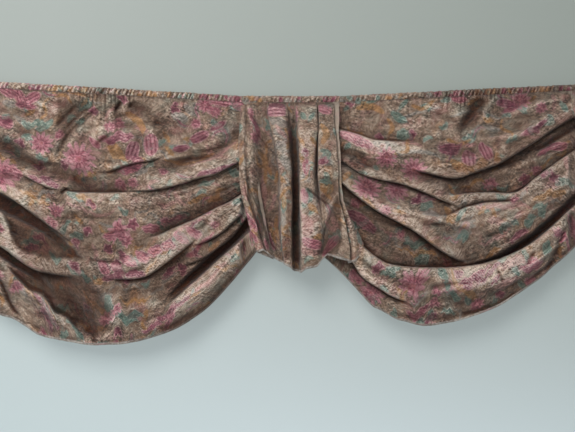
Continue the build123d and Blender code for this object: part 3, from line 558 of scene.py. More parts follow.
def end_tail(side, seed):
    """The two outer tails, pleated like the centre one and cut on a slant."""
    header = (570.3, 664.4) if side > 0 else (-140.0, -45.6)
    inner_low, outer_low = (580, 668) if side > 0 else (-41, -142)
    rel = [0.02, -0.01, 0.05, 0.09, 0.16, 0.24, 0.27, 0.35, 0.44, 0.47, 0.51, 0.60, 0.69, 0.715, 0.74, 0.83, 0.91, 0.93, 1.0, 0.95]
    dep = [0.30, 0.62, 0.80, 0.66, 0.72, 0.35, 0.82, 1.0, 0.86, 0.20, 0.90, 1.0, 0.86, 0.28, 0.84, 0.95, 0.80, 0.38, 0.66, 0.32]
    rng = np.random.default_rng(seed)
    full = np.array([10, 23, 36, 47, 55, 60, 62, 61, 60], float)
    inner, outer = (header[0], header[1]) if side > 0 else (header[1], header[0])
    edges = []
    for f, d in zip(rel, dep):
        j = rng.uniform(-0.016, 0.016)
        d = float(np.clip(d * rng.uniform(0.84, 1.10), 0.2, 1.0))
        top_u = inner + (outer - inner) * np.clip(f, 0.0, 1.0)
        low_u = inner_low + (outer_low - inner_low) * (f + j)
        blend = smooth(np.array([0, .22, .45, .7, .9, 1, 1, 1, 1]))
        us = top_u + (low_u - top_u) * blend + np.cumsum(rng.uniform(-0.45, 0.45, 9))
        sway = np.cumsum(rng.uniform(-0.05, 0.05, 9))
        ys = full * (0.42 + 0.58 * d) * np.array([0.9 + 0.1 * d] + [1] * 8) * (1 + sway)
        ys[0] = 3.5 + 6.5 * d
        edges.append((list(us), list(ys), 100.0 * f))
    return edges, header


def end_tail_shape(name, side, seed):
    edges, header = end_tail(side, seed)
    inner, outer = (header[0], header[1]) if side > 0 else (header[1], header[0])
    lv = np.array([0, 10.5, 25, 45, 70, 100, 130, 150, 200], float)
    out_edges = []
    for us, ys, f in edges:
        out_edges.append((us, ys, f))
    eu = np.array([e[0] for e in out_edges])
    frac = np.clip([e[2] / 100.0 for e in out_edges], 0, 1)
    inner_len, outer_len = 152.0, 180.0
    zig = np.array([0, 3, 1, 0, 2, -2, 1, 4, 2, -3, 0, 4, 1, -3, 0, 3, 1, -2, 1, 0], float)
    lengths = inner_len + (outer_len - inner_len) * frac + zig
    made = [(list(eu[k]), out_edges[k][1], lengths[k]) for k in range(len(out_edges))]
    if side < 0:
        made = made[::-1]  # laid out from left to right, the printed side faces out
    shape = tail_shape(name, made, lv, seed)
    shape["v"] = shape["v"] + (wire_v(shape["u"][:1]) + 2.2)
    return shape


# ------------------------------------------------------------------- meshes
def grid_mesh(name, P, U, V, attrs, closed=False):
    """A quad sheet from rows of points, with its cloth coordinates and print fields."""
    r, c = P.shape[:2]
    idx = np.arange(r * c).reshape(r, c)
    a, b, d, e = idx[:-1, :-1], idx[1:, :-1], idx[1:, 1:], idx[:-1, 1:]
    quads = np.stack([a, b, d, e], -1).reshape(-1, 4)
    mesh = bpy.data.meshes.new(name)
    mesh.vertices.add(r * c)
    mesh.vertices.foreach_set("co", P.reshape(-1).astype(np.float32))
    mesh.loops.add(quads.size)
    mesh.loops.foreach_set("vertex_index", quads.reshape(-1).astype(np.int32))
    mesh.polygons.add(len(quads))
    mesh.polygons.foreach_set("loop_start", (np.arange(len(quads)) * 4).astype(np.int32))
    mesh.polygons.foreach_set("loop_total", np.full(len(quads), 4, np.int32))
    mesh.polygons.foreach_set("use_smooth", np.ones(len(quads), bool))
    mesh.update(calc_edges=True)
    uv = mesh.uv_layers.new(name="Cloth")
    flat = np.stack([U.reshape(-1), V.reshape(-1)], -1)[quads.reshape(-1)]
    uv.data.foreach_set("uv", flat.reshape(-1).astype(np.float32))
    for key, val in attrs.items():
        at = mesh.attributes.new(key, "FLOAT", "POINT")
        at.data.foreach_set("value", np.asarray(val, np.float32).reshape(-1))
    mesh.validate()
    ob = bpy.data.objects.new(name, mesh)
    scene.collection.objects.link(ob)
    return ob


def thicken(ob, thickness, materials, even=False):
    """Gives a sheet its thickness towards the wall, with the wrong side of the cloth behind."""
    for m in materials:
        ob.data.materials.append(m)
    mod = ob.modifiers.new("cloth", "SOLIDIFY")
    mod.thickness = thickness
    mod.offset = -1.0
    mod.use_rim = True
    mod.use_even_offset = even
    mod.material_offset = 1 if len(materials) > 1 else 0
    mod.material_offset_rim = 0
    bpy.context.view_layer.update()
    dg = bpy.context.evaluated_depsgraph_get()
    new = bpy.data.meshes.new_from_object(ob.evaluated_get(dg))
    ob.modifiers.clear()
    old = ob.data
    ob.data = new
    bpy.data.meshes.remove(old)
    return ob


def cloth_coords(P):
    """V down each column by arc length (metres)."""
    down = np.linalg.norm(np.diff(P, axis=0), axis=-1)
    V = np.vstack([np.zeros((1, P.shape[1])), np.cumsum(down, 0)])
    return V


# -------------------------------------------------------------------- print
FIELDS = ("f_pink", "f_plum", "f_teal", "f_gold", "f_grey", "f_rose", "f_line")


class Print:
    """Print fields of a piece: for each ink, the signed distance in mm to its nearest motif edge."""

    def __init__(self, X, Y):
        self.X, self.Y = X * 1000.0, Y * 1000.0  # mm
        self.f = {k: np.full(X.shape, 14.0) for k in FIELDS}

    def area(self, c, reach):
        m = (np.abs(self.X - c[0]) < reach) & (np.abs(self.Y - c[1]) < reach)
        return m, self.X[m] - c[0], self.Y[m] - c[1]

    def put(self, key, m, sd):
        self.f[key][m] = np.minimum(self.f[key][m], sd)

    def line(self, m, g, inside):
        old = self.f["f_line"][m]
        self.f["f_line"][m] = np.where(inside & (np.abs(g) < np.abs(old)), g, old)

    def daisy(self, c, R, n=12, turn=0.0, key="f_pink", heart="f_gold"):
        m, x, y = self.area(c, R + 14)
        r, a = np.hypot(x, y), np.arctan2(y, x) + turn
        lobe = np.abs(np.cos(n * a / 2))
        R = R * 1.12
        sd = (r - R * (0.42 + 0.58 * lobe ** 0.7)) * 0.62
        self.put(key, m, sd)
        self.line(m, r * np.cos(n * a / 2) / (n / 2), (sd < 1) & (r > 0.2 * R))
        self.put("f_rose", m, r - 0.42 * R)
        self.put(heart, m, r - 0.15 * R)

    def petal(self, c, a, b, turn, key, grow=1.25):
        a, b = a * grow, b * grow
        m, x, y = self.area(c, max(a, b) + 14)
        ca, sa = math.cos(turn), math.sin(turn)
        p, q = x * ca + y * sa, -x * sa + y * ca
        k = np.hypot(p / a, q / b)
        sd = (k - 1) * min(a, b)
        self.put(key, m, sd)
        g = np.sin(q / b * 5.5) * b / 5.5
        self.line(m, g, (sd < 0.5))

    def tulip(self, c, s, turn=0.0):
        ca, sa = math.cos(turn), math.sin(turn)
        at = lambda x, y: (c[0] + s * (x * ca - y * sa), c[1] + s * (x * sa + y * ca))
        self.petal(at(-24, -14), 19 * s, 7.5 * s, turn + 0.12, "f_plum", 1.05)
        self.petal(at(-4, 9), 9.5 * s, 15 * s, turn + 0.45, "f_plum", 1.05)
        self.petal(at(17, 0), 9.5 * s, 17 * s, turn - 0.35, "f_plum", 1.05)
        self.petal(at(-6, -12), 10 * s, 6 * s, turn, "f_rose", 1.05)
        for x, y, w in ((-30, 8, 8), (-22, 18, 9), (-14, 24, 7), (8, 22, 6), (-34, 0, 5)):
            m, px, py = self.area(at(x, y), 22)
            self.put("f_gold", m, np.hypot(px, py) - w * s)

    def leaf(self, a, b, w, key="f_teal"):
        a, b = np.array(a, float), np.array(b, float)
        c, L = (a + b) / 2, np.hypot(*(b - a)) / 2 + 1e-6
        d = (b - a) / (2 * L)
        m, x, y = self.area(c, L + 14)
        p, q = x * d[0] + y * d[1], -x * d[1] + y * d[0]
        width = 1.25 * w * np.clip(1 - (p / L) ** 2, 0, 1) ** 0.8
        q2 = q - 0.18 * w * np.sin(p / L * 2.2)
        sd = np.where(np.abs(p) < L, np.abs(q2) - width, np.hypot(np.abs(p) - L, q))
        self.put(key, m, sd)
        self.line(m, q2, sd < 0)

    def ribbon(self, pts, w, key):
        line = soft_line(pts, 6)
        lo, hi = line.min(0) - 16, line.max(0) + 16
        m = (self.X > lo[0]) & (self.X < hi[0]) & (self.Y > lo[1]) & (self.Y < hi[1])
        if not m.any():
            return
        d, f = near_line(self.X[m], self.Y[m], line)
        ww = 1.25 * w * (0.35 + 0.65 * np.sin(np.pi * np.clip(f, 0, 1)) ** 0.6)
        self.put(key, m, np.abs(d) - ww)

    def cluster(self, c, R, rng, key="f_pink"):
        for _ in range(9):
            a, r = rng.uniform(0, 6.283), R * math.sqrt(rng.uniform(0, 1))
            self.petal((c[0] + r * math.cos(a), c[1] + r * math.sin(a)), rng.uniform(3.5, 6), rng.uniform(2.6, 4), a, key)
        m, x, y = self.area(c, R + 14)
        self.put("f_gold", m, np.hypot(x, y) - 2.6)


def scatter(pr, seed, density=1.0):
    """Small leaves, ribbons and blossoms that fill the print between the large flowers."""
    rng = np.random.default_rng(seed)
    x0, x1, y0, y1 = pr.X.min(), pr.X.max(), pr.Y.min(), pr.Y.max()
    cell = 30.0
    for i in range(int((x1 - x0) / cell) + 1):
        for j in range(int((y1 - y0) / cell) + 1):
            c = (x0 + (i + rng.uniform(0.1, 0.9)) * cell, y0 + (j + rng.uniform(0.1, 0.9)) * cell)
            kind = rng.integers(0, 9)
            a = rng.uniform(0, 6.283)
            d = np.array([math.cos(a), math.sin(a)])
            e = np.array([-d[1], d[0]])
            p = np.array(c)
            big = rng.uniform(0.7, 1.25)
            if rng.uniform() > density:
                continue
            if kind in (0, 1):
                for s in (-1, 0, 1):
                    t = d + 0.7 * s * e
                    pr.leaf(p, p + t * 17 * big, 3.6 * big, "f_teal")
            elif kind == 2:
                pr.ribbon([p - d * 24, p - d * 8 + e * 7, p + d * 9 - e * 6, p + d * 26], 2.6 * big, "f_gold")
            elif kind == 3:
                pr.ribbon([p - d * 22, p - d * 8 - e * 8, p + d * 8 + e * 8, p + d * 22], 2.2 * big, "f_grey")
            elif kind == 4:
                pr.cluster(c, 8 * big, rng, "f_pink")
            elif kind == 5:
                pr.leaf(p - d * 14, p + d * 14, 4.2 * big, "f_gold")
                pr.leaf(p + d * 3, p + d * 3 + e * 15, 3 * big, "f_teal")
            elif kind == 6:
                pr.petal(c, 11 * big, 5 * big, a, "f_grey")
                pr.ribbon([p - d * 18 + e * 6, p, p + d * 18 + e * 8], 1.5, "f_pink")
            elif kind == 7:
                pr.daisy(c, 12 * big, 9, a, "f_pink")
            else:
                pr.ribbon([p - d * 18, p + e * 5, p + d * 18], 3.4 * big, "f_rose")


def place(shape, U, V):
    """Finds the cloth coordinates (mm) of a point of the view."""
    u, v = shape["u"], shape["v"]

    def at(pu, pv):
        k = np.argmin((u - pu) ** 2 + (v - pv) ** 2)
        return (float(U.reshape(-1)[k]) * 1000, float(V.reshape(-1)[k]) * 1000)

    return at


def print_left(pr, at):
    rng = np.random.default_rng(41)
    for c, a, b, t, k in (((118.5, 136.3), 31, 10.5, -.10, "f_plum"), ((133, 151), 21, 13.5, 1.85, "f_plum"), ((151.5, 144.5), 24, 14.5, 1.42, "f_pink"), ((142, 129.5), 16, 6, .3, "f_rose")):
        pr.petal(at(*c), a, b, t, k, 1.0)
    for c, w in (((112, 146), 7), ((118, 152), 9), ((125, 157), 8), ((143, 160), 7), ((108, 142), 5), ((135, 119), 6)):
        pr.petal(at(*c), w, w, 0.0, "f_gold", 1.0)
    for (c, R, n) in (((79, 158.5), 31, 13), ((41, 143), 22, 11), ((0, 176), 36, 13), ((-34, 130), 26, 12), ((118, 229), 22, 11), ((205, 105), 15, 9)):
        pr.daisy(at(*c), R, n, 0.3)
    for c, a, b, t, k in (((8, 92), 17, 9, .5, "f_pink"), ((20, 97), 15, 8, 1.1, "f_pink"), ((33, 97), 14, 9, -.6, "f_pink"), ((26, 105), 17, 6, .1, "f_pink"),
                          ((10, 104), 13, 6, .2, "f_grey"), ((5, 122), 16, 9, .4, "f_pink"), ((22, 121), 15, 5, .6, "f_grey"),
                          ((200, 137), 17, 8, -.5, "f_plum"), ((181, 149), 14, 6, -.3, "f_plum"), ((218, 126), 15, 5, -.6, "f_pink"),
                          ((180, 117), 14, 8, .3, "f_grey"), ((190, 110), 12, 6, .8, "f_grey"), ((96, 144), 11, 6, .6, "f_pink"),
                          ((221, 100), 20, 10, .1, "f_pink"), ((238, 104), 12, 9, .4, "f_pink"), ((129, 168), 22, 8, -.4, "f_pink"), ((143, 171), 12, 5, -.6, "f_grey"),
                          ((48, 182), 18, 6, .5, "f_plum"), ((36, 178), 14, 5, .5, "f_plum"), ((12, 172), 18, 10, .3, "f_pink"),
                          ((223, 165), 26, 5, -.45, "f_plum"), ((205, 171), 16, 4, -.4, "f_plum"),
                          ((151, 228), 15, 7, .5, "f_pink"), ((176, 219), 18, 6, -.5, "f_plum"), ((112, 236), 16, 7, .2, "f_pink"),
                          ((22, 288), 13, 7, .8, "f_grey"), ((40, 300), 12, 6, .5, "f_pink"), ((104, 297), 15, 8, .4, "f_grey")):
        pr.petal(at(*c), a, b, t, k)
    for k in range(8):  # the striped flower band
        f = k / 7
        c = at(104 + 90 * f, 268 - 36 * f ** 1.3)
        pr.petal(c, 17 - 4 * f, 7.4, 1.0 - 0.5 * f, "f_pink")
        pr.petal((c[0] + 8, c[1] - 3), 12, 2.2, 1.0 - 0.5 * f, "f_grey")
    for c in ((126, 279), (112, 277), (136, 272)):
        pr.petal(at(*c), 17, 7, .1, "f_plum")
    for k in range(6):
        f = k / 5
        pr.petal(at(148 + 36 * f, 330 - 30 * f), 10, 4.2, -.2, "f_pink")
        pr.petal(at(152 + 36 * f, 327 - 30 * f), 9, 1.8, .6, "f_grey")
    pr.cluster(at(50, 317), 15, rng)
    pr.cluster(at(44, 312), 10, rng)
    pr.cluster(at(170, 270), 8, rng)
    for a, b, w in (((34, 126), (42, 118), 6), ((44, 130), (53, 119), 6), ((36, 156), (46, 162), 6), ((88, 97), (80, 112), 6), ((92, 101), (84, 110), 4),
                    ((66, 193), (78, 199), 6), ((72, 196), (84, 203), 5), ((20, 245), (40, 239), 6), ((48, 253), (62, 258), 7), ((30, 236), (45, 232), 5),
                    ((105, 294), (112, 318), 8), ((112, 318), (140, 321), 8), ((128, 320), (142, 313), 5), ((77, 271), (92, 283), 6), ((66, 268), (80, 276), 5),
                    ((168, 226), (186, 219), 5), ((196, 188), (215, 180), 5), ((232, 206), (240, 200), 5), ((195, 196), (206, 190), 4), ((147, 150), (156, 147), 3),
                    ((230, 262), (239, 254), 6), ((8, 250), (20, 262), 5), ((2, 120), (10, 113), 5), ((86, 308), (96, 316), 5), ((60, 244), (70, 250), 4)):
        pr.leaf(at(*a), at(*b), w, "f_teal")
    for pts, w, k in ((((127, 113), (135, 118), (142, 126), (143, 133)), 6, "f_gold"), (((110, 146), (118, 153), (126, 160)), 8, "f_gold"), (((77, 197), (90, 201), (94, 209)), 6, "f_gold"),
                      (((140, 260), (156, 251), (172, 243)), 3, "f_gold"), (((190, 203), (205, 197), (222, 199)), 5, "f_gold"), (((165, 160), (190, 163), (214, 154)), 4, "f_gold"),
                      (((18, 279), (30, 290), (38, 304)), 4, "f_gold"), (((90, 300), (100, 309), (110, 316)), 4, "f_gold"), (((80, 324), (92, 330), (104, 326)), 5, "f_gold"),
                      (((120, 297), (136, 300), (150, 297)), 3.5, "f_gold"), (((84, 292), (92, 306), (92, 318)), 3.5, "f_gold"), (((70, 90), (77, 92), (86, 95)), 5, "f_gold"),
                      (((165, 222), (176, 214), (188, 213)), 2.5, "f_grey"), (((183, 300), (205, 285), (226, 262)), 4, "f_rose"), (((190, 165), (214, 158), (236, 141)), 4, "f_rose"),
                      (((60, 209), (92, 214), (124, 210)), 3, "f_rose"), (((20, 190), (36, 200), (52, 208)), 3, "f_gold"), (((170, 240), (190, 226), (210, 215)), 3.0, "f_rose"),
                      (((100, 222), (112, 226), (124, 222)), 2.2, "f_grey"), (((186, 256), (200, 246), (214, 232)), 4, "f_pink"), (((228, 226), (240, 214), (248, 200)), 4, "f_grey")):
        pr.ribbon([at(*p) for p in pts], w, k)


def print_right(pr, at):
    rng = np.random.default_rng(47)
    for c, a, b, t, k in (((449, 151), 20, 9, .08, "f_plum"), ((469, 157.5), 20, 14, 1.62, "f_plum"), ((486.5, 152), 18, 12.5, 1.27, "f_pink"), ((468, 144.5), 16, 5, 0, "f_rose")):
        pr.petal(at(*c), a, b, t, k, 1.0)
    for c, R, n, k in (((367, 187), 27, 13, "f_pink"), ((382, 146), 14, 9, "f_grey"), ((413, 169), 24, 12, "f_pink"), ((413, 287), 28, 12, "f_pink"), ((371, 293), 26, 12, "f_pink"),
                       ((397, 190), 22, 11, "f_plum"), ((465, 226), 22, 11, "f_grey"), ((575, 232), 22, 11, "f_pink"), ((520, 100), 20, 10, "f_pink"), ((386, 158), 20, 11, "f_pink")):
        pr.daisy(at(*c), R, n, 0.2, k)
    for c, a, b, t, k in (((352, 137), 24, 8, .5, "f_pink"), ((362, 143), 18, 7, .4, "f_pink"), ((372, 150), 14, 7, .2, "f_rose"), ((515, 107), 22, 6, -.4, "f_pink"),
                          ((506, 104), 16, 7, .2, "f_plum"), ((459, 99), 14, 7, .2, "f_pink"), ((450, 148), 20, 7, 0, "f_plum"), ((530, 131), 18, 5, -.5, "f_pink"), ((540, 125), 16, 4, -.6, "f_plum"),
                          ((558, 146), 17, 8, -.5, "f_pink"), ((545, 150), 14, 6, -.4, "f_pink"), ((356, 216), 20, 8, .6, "f_plum"), ((366, 224), 18, 9, .6, "f_plum"), ((424, 198), 20, 6, .5, "f_plum"),
                          ((497, 222), 16, 7, .2, "f_rose"), ((514, 262), 24, 8, -.3, "f_rose"), ((530, 270), 22, 8, -.4, "f_pink"), ((519, 236), 20, 6, -.8, "f_plum"), ((555, 214), 20, 7, -.7, "f_plum"),
                          ((564, 236), 18, 5, -1.1, "f_pink"), ((418, 316), 18, 8, .1, "f_pink"), ((430, 318), 12, 6, .3, "f_plum"), ((475, 276), 24, 6, -.1, "f_pink"), ((491, 272), 14, 5, -.3, "f_plum"),
                          ((490, 128), 14, 5, .3, "f_grey"), ((430, 213), 15, 6, .4, "f_grey"), ((553, 185), 18, 5, -.5, "f_rose"), ((470, 287), 22, 10, .1, "f_rose"), ((507, 282), 20, 9, -.3, "f_rose")):
        pr.petal(at(*c), a, b, t, k)
    pr.cluster(at(380, 268), 10, rng)
    pr.cluster(at(508, 252), 12, rng, "f_pink")
    for a, b, w in (((345, 98), (378, 98), 6), ((390, 112), (408, 122), 7), ((396, 132), (408, 138), 8), ((398, 140), (404, 128), 6), ((408, 96), (398, 112), 4),
                    ((420, 196), (434, 208), 7), ((480, 190), (494, 184), 5), ((372, 166), (380, 170), 4), ((404, 238), (428, 241), 7), ((414, 256), (428, 262), 8), ((424, 248), (428, 266), 5),
                    ((436, 270), (448, 284), 8), ((444, 282), (462, 298), 8), ((470, 305), (466, 296), 6), ((380, 274), (402, 270), 6), ((385, 268), (396, 278), 5), ((390, 290), (380, 283), 5),
                    ((556, 186), (566, 178), 7), ((562, 182), (574, 186), 6), ((543, 244), (552, 252), 7), ((549, 240), (546, 256), 6), ((533, 218), (524, 226), 6), ((520, 224), (510, 222), 5),
                    ((340, 276), (350, 284), 5), ((520, 276), (512, 268), 5), ((428, 312), (434, 320), 5), ((350, 104), (344, 112), 4), ((568, 112), (560, 100), 5), ((568, 268), (560, 262), 5),
                    ((350, 142), (346, 150), 5), ((440, 314), (456, 312), 4), ((395, 234), (402, 226), 4)):
        pr.leaf(at(*a), at(*b), w, "f_teal")
    for pts, w, k in ((((357, 108), (372, 107), (384, 113)), 5.5, "f_gold"), (((388, 118), (392, 128), (390, 134)), 4, "f_gold"), (((452, 160), (462, 167), (474, 166)), 7, "f_gold"), (((478, 166), (486, 160)), 6, "f_gold"),
                      (((446, 208), (452, 216), (448, 222)), 7, "f_gold"), (((534, 200), (548, 193), (566, 192)), 6, "f_gold"), (((452, 272), (456, 284), (470, 294), (478, 300)), 5, "f_gold"),
                      (((448, 140), (462, 144), (470, 140)), 4, "f_gold"), (((480, 262), (490, 254), (500, 248)), 5, "f_gold"), (((412, 105), (424, 108), (434, 101)), 4, "f_gold"), (((398, 248), (420, 252), (440, 260)), 3, "f_gold"),
                      (((510, 100), (524, 104), (536, 96)), 4, "f_gold"), (((416, 284), (404, 292), (396, 286)), 4, "f_gold"), (((400, 120), (418, 112), (440, 108)), 3, "f_grey"), (((396, 154), (420, 152), (440, 158)), 3.4, "f_grey"),
                      (((520, 180), (536, 172), (552, 158)), 3.5, "f_gold"), (((380, 228), (410, 240), (440, 236)), 3.0, "f_rose"), (((480, 244), (500, 236), (520, 212)), 4, "f_rose"), (((338, 104), (330, 112), (340, 122)), 4, "f_pink"),
                      (((450, 116), (470, 112), (500, 118)), 2.6, "f_grey"), (((476, 208), (500, 206), (530, 208)), 5, "f_rose"), (((536, 236), (548, 226), (560, 214)), 3.6, "f_gold"), (((364, 262), (384, 262), (400, 268)), 3, "f_grey")):
        pr.ribbon([at(*p) for p in pts], w, k)


def print_center(pr, at):
    for c, a, b, t, k in (((257, 129), 16, 6, 1.2, "f_pink"), ((253, 120), 10, 5, 1.0, "f_pink"), ((276, 110), 15, 12, 0, "f_plum"), ((277, 106), 13, 7, .2, "f_plum"), ((325, 109), 15, 10, .4, "f_pink"),
                          ((306, 167), 13, 6, 1.5, "f_pink"), ((305, 152), 8, 5, 1.4, "f_plum"), ((304, 196), 12, 6, 1.4, "f_pink"), ((312, 243), 17, 7, .6, "f_pink"), ((330, 245), 20, 8, -.7, "f_pink"), ((308, 251), 18, 8, .4, "f_rose"),
                          ((280, 122), 12, 8, .4, "f_grey"), ((282, 134), 13, 8, .8, "f_grey"), ((285, 162), 14, 8, 1.2, "f_grey"), ((281, 146), 12, 8, .8, "f_grey"), ((287, 184), 12, 6, 1.4, "f_grey"), ((325, 160), 13, 8, .3, "f_grey"), ((283, 220), 20, 6, 1.5, "f_grey"), ((306, 178), 10, 6, .4, "f_grey"),
                          ((270, 240), 18, 5, 1.3, "f_pink"), ((246, 215), 16, 4, 1.2, "f_pink"), ((252, 236), 12, 4, 1.2, "f_pink"), ((335, 224), 20, 5, 1.4, "f_rose"), ((360, 240), 14, 5, 1.2, "f_rose")):
        pr.petal(at(*c), a, b, t, k)
    for pts, w, k in ((((322, 124), (326, 134), (322, 143)), 6, "f_gold"), (((321, 184), (327, 190), (332, 186)), 7, "f_gold"), (((258, 150), (265, 160), (266, 172)), 5, "f_gold"), (((286, 128), (289, 140), (287, 148)), 4, "f_gold"),
                      (((277, 215), (276, 228), (279, 240)), 4, "f_gold"), (((334, 204), (341, 216), (346, 226)), 4, "f_gold"), (((272, 228), (274, 236), (276, 243)), 4, "f_gold"), (((252, 228), (253, 233), (254, 238)), 6, "f_gold"),
                      (((359, 246), (361, 250), (360, 253)), 5, "f_gold"), (((296, 130), (300, 140), (306, 148)), 3, "f_gold"), (((262, 176), (264, 200), (262, 216)), 5, "f_rose"), (((304, 216), (308, 226), (306, 238)), 8, "f_rose")):
        pr.ribbon([at(*p) for p in pts], w, k)
    for a, b, w in (((306, 188), (313, 202), 7), ((309, 196), (304, 208), 5), ((342, 208), (350, 232), 6), ((346, 226), (352, 242), 5), ((283, 196), (284, 214), 6), ((324, 172), (330, 180), 5), ((282, 236), (281, 252), 5),
                    ((263, 118), (270, 126), 4), ((330, 150), (334, 160), 4), ((300, 112), (306, 120), 4), ((313, 112), (309, 122), 3)):
        pr.leaf(at(*a), at(*b), w, "f_teal")


def casing_printer(bands):
    """The swags' print runs on over the casing: (from, to, ink) along the top edge."""
    def draw(pr, at):
        rng = np.random.default_rng(53)
        for a, b, ink in bands:
            u = a
            while u < b:
                c = at(u, float(wire_v(u)) + rng.uniform(-5, 5))
                pr.petal(c, rng.uniform(5, 13), rng.uniform(4, 8), rng.uniform(0, 3.1), ink, 1.0)
                if rng.uniform() < 0.45:
                    c = at(u, float(wire_v(u)) + rng.uniform(-5, 5))
                    pr.petal(c, rng.uniform(4, 9), rng.uniform(2, 4), rng.uniform(0, 3.1), ("f_gold", "f_teal", "f_rose", "f_grey")[rng.integers(0, 4)], 1.0)
                u += rng.uniform(4, 9)
    return draw


CASING_LEFT = casing_printer(((-48, -20, "f_teal"), (-12, 44, "f_pink"), (46, 88, "f_gold"), (96, 126, "f_grey"), (132, 176, "f_gold"), (180, 200, "f_teal"), (203, 243, "f_pink")))
CASING_CENTER = casing_printer(((246, 264, "f_gold"), (268, 284, "f_pink"), (288, 297, "f_grey"), (299, 312, "f_pink"), (314, 338, "f_pink")))
CASING_RIGHT = casing_printer(((344, 384, "f_teal"), (388, 420, "f_gold"), (424, 446, "f_grey"), (450, 470, "f_pink"), (476, 500, "f_gold"), (503, 528, "f_pink"), (532, 552, "f_gold"), (554, 570, "f_pink")))


# ---------------------------------------------------------------- materials
class Nodes:
    def __init__(self, name):
        self.mat = bpy.data.materials.new(name)
        self.mat.use_nodes = True
        self.t = self.mat.node_tree
        self.bsdf = self.t.nodes["Principled BSDF"]

    def new(self, kind, **kw):
        n = self.t.nodes.new(kind)
        for k, v in kw.items():
            setattr(n, k, v)
        return n

    def link(self, a, b):
        self.t.links.new(a, b)

    def put(self, sock, val):
        if isinstance(val, bpy.types.NodeSocket):
            self.link(val, sock)
        else:
            sock.default_value = val

    def m(self, op, a, b=0.0, c=0.0, clamp=False):
        n = self.new("ShaderNodeMath", operation=op, use_clamp=clamp)
        self.put(n.inputs[0], a)
        self.put(n.inputs[1], b)
        self.put(n.inputs[2], c)
        return n.outputs[0]

    def mix(self, f, a, b, blend="MIX"):
        n = self.new("ShaderNodeMix", data_type="RGBA", blend_type=blend)
        self.put(n.inputs[0], f)
        self.put(n.inputs[6], (*a, 1) if isinstance(a, tuple) else a)
        self.put(n.inputs[7], (*b, 1) if isinstance(b, tuple) else b)
        return n.outputs[2]

    def attr(self, name):
        return self.new("ShaderNodeAttribute", attribute_name=name).outputs["Fac"]

    def uv(self, scale=1.0, rot=0.0, squeeze=1.0):
        u = self.new("ShaderNodeUVMap", uv_map="Cloth").outputs[0]
        mp = self.new("ShaderNodeMapping", vector_type="TEXTURE")
        self.link(u, mp.inputs[0])
        mp.inputs["Scale"].default_value = (1 / scale, 1 / (scale * squeeze), 1 / scale)
        mp.inputs["Rotation"].default_value = (0, 0, rot)
        return mp.outputs[0]

    def noise(self, vec, scale, detail=3.0, rough=0.55, distortion=0.0):
        n = self.new("ShaderNodeTexNoise")
        self.link(vec, n.inputs["Vector"])
        n.inputs["Scale"].default_value = scale
        n.inputs["Detail"].default_value = detail
        n.inputs["Roughness"].default_value = rough
        n.inputs["Distortion"].default_value = distortion
        return n.outputs["Fac"]

    def wave(self, vec, scale, distortion=0.0, direction="X", dscale=1.0):
        n = self.new("ShaderNodeTexWave", wave_type="BANDS", bands_direction=direction)
        self.link(vec, n.inputs["Vector"])
        n.inputs["Scale"].default_value = scale
        n.inputs["Distortion"].default_value = distortion
        n.inputs["Detail"].default_value = 1.0
        n.inputs["Detail Scale"].default_value = dscale
        return n.outputs["Fac"]

    def bump(self, height, strength, distance):
        n = self.new("ShaderNodeBump")
        n.inputs["Strength"].default_value = strength
        n.inputs["Distance"].default_value = distance
        self.link(height, n.inputs["Height"])
        return n.outputs[0]


INK = {
    "ground_a": (0.350, 0.236, 0.174),
    "ground_b": (0.185, 0.110, 0.076),
    "ground_c": (0.470, 0.375, 0.300),
    "pink": (0.385, 0.092, 0.148),
    "plum": (0.240, 0.050, 0.095),
    "teal": (0.080, 0.215, 0.192),
    "gold": (0.440, 0.215, 0.070),
    "grey": (0.300, 0.310, 0.300),
    "rose": (0.520, 0.260, 0.260),
}


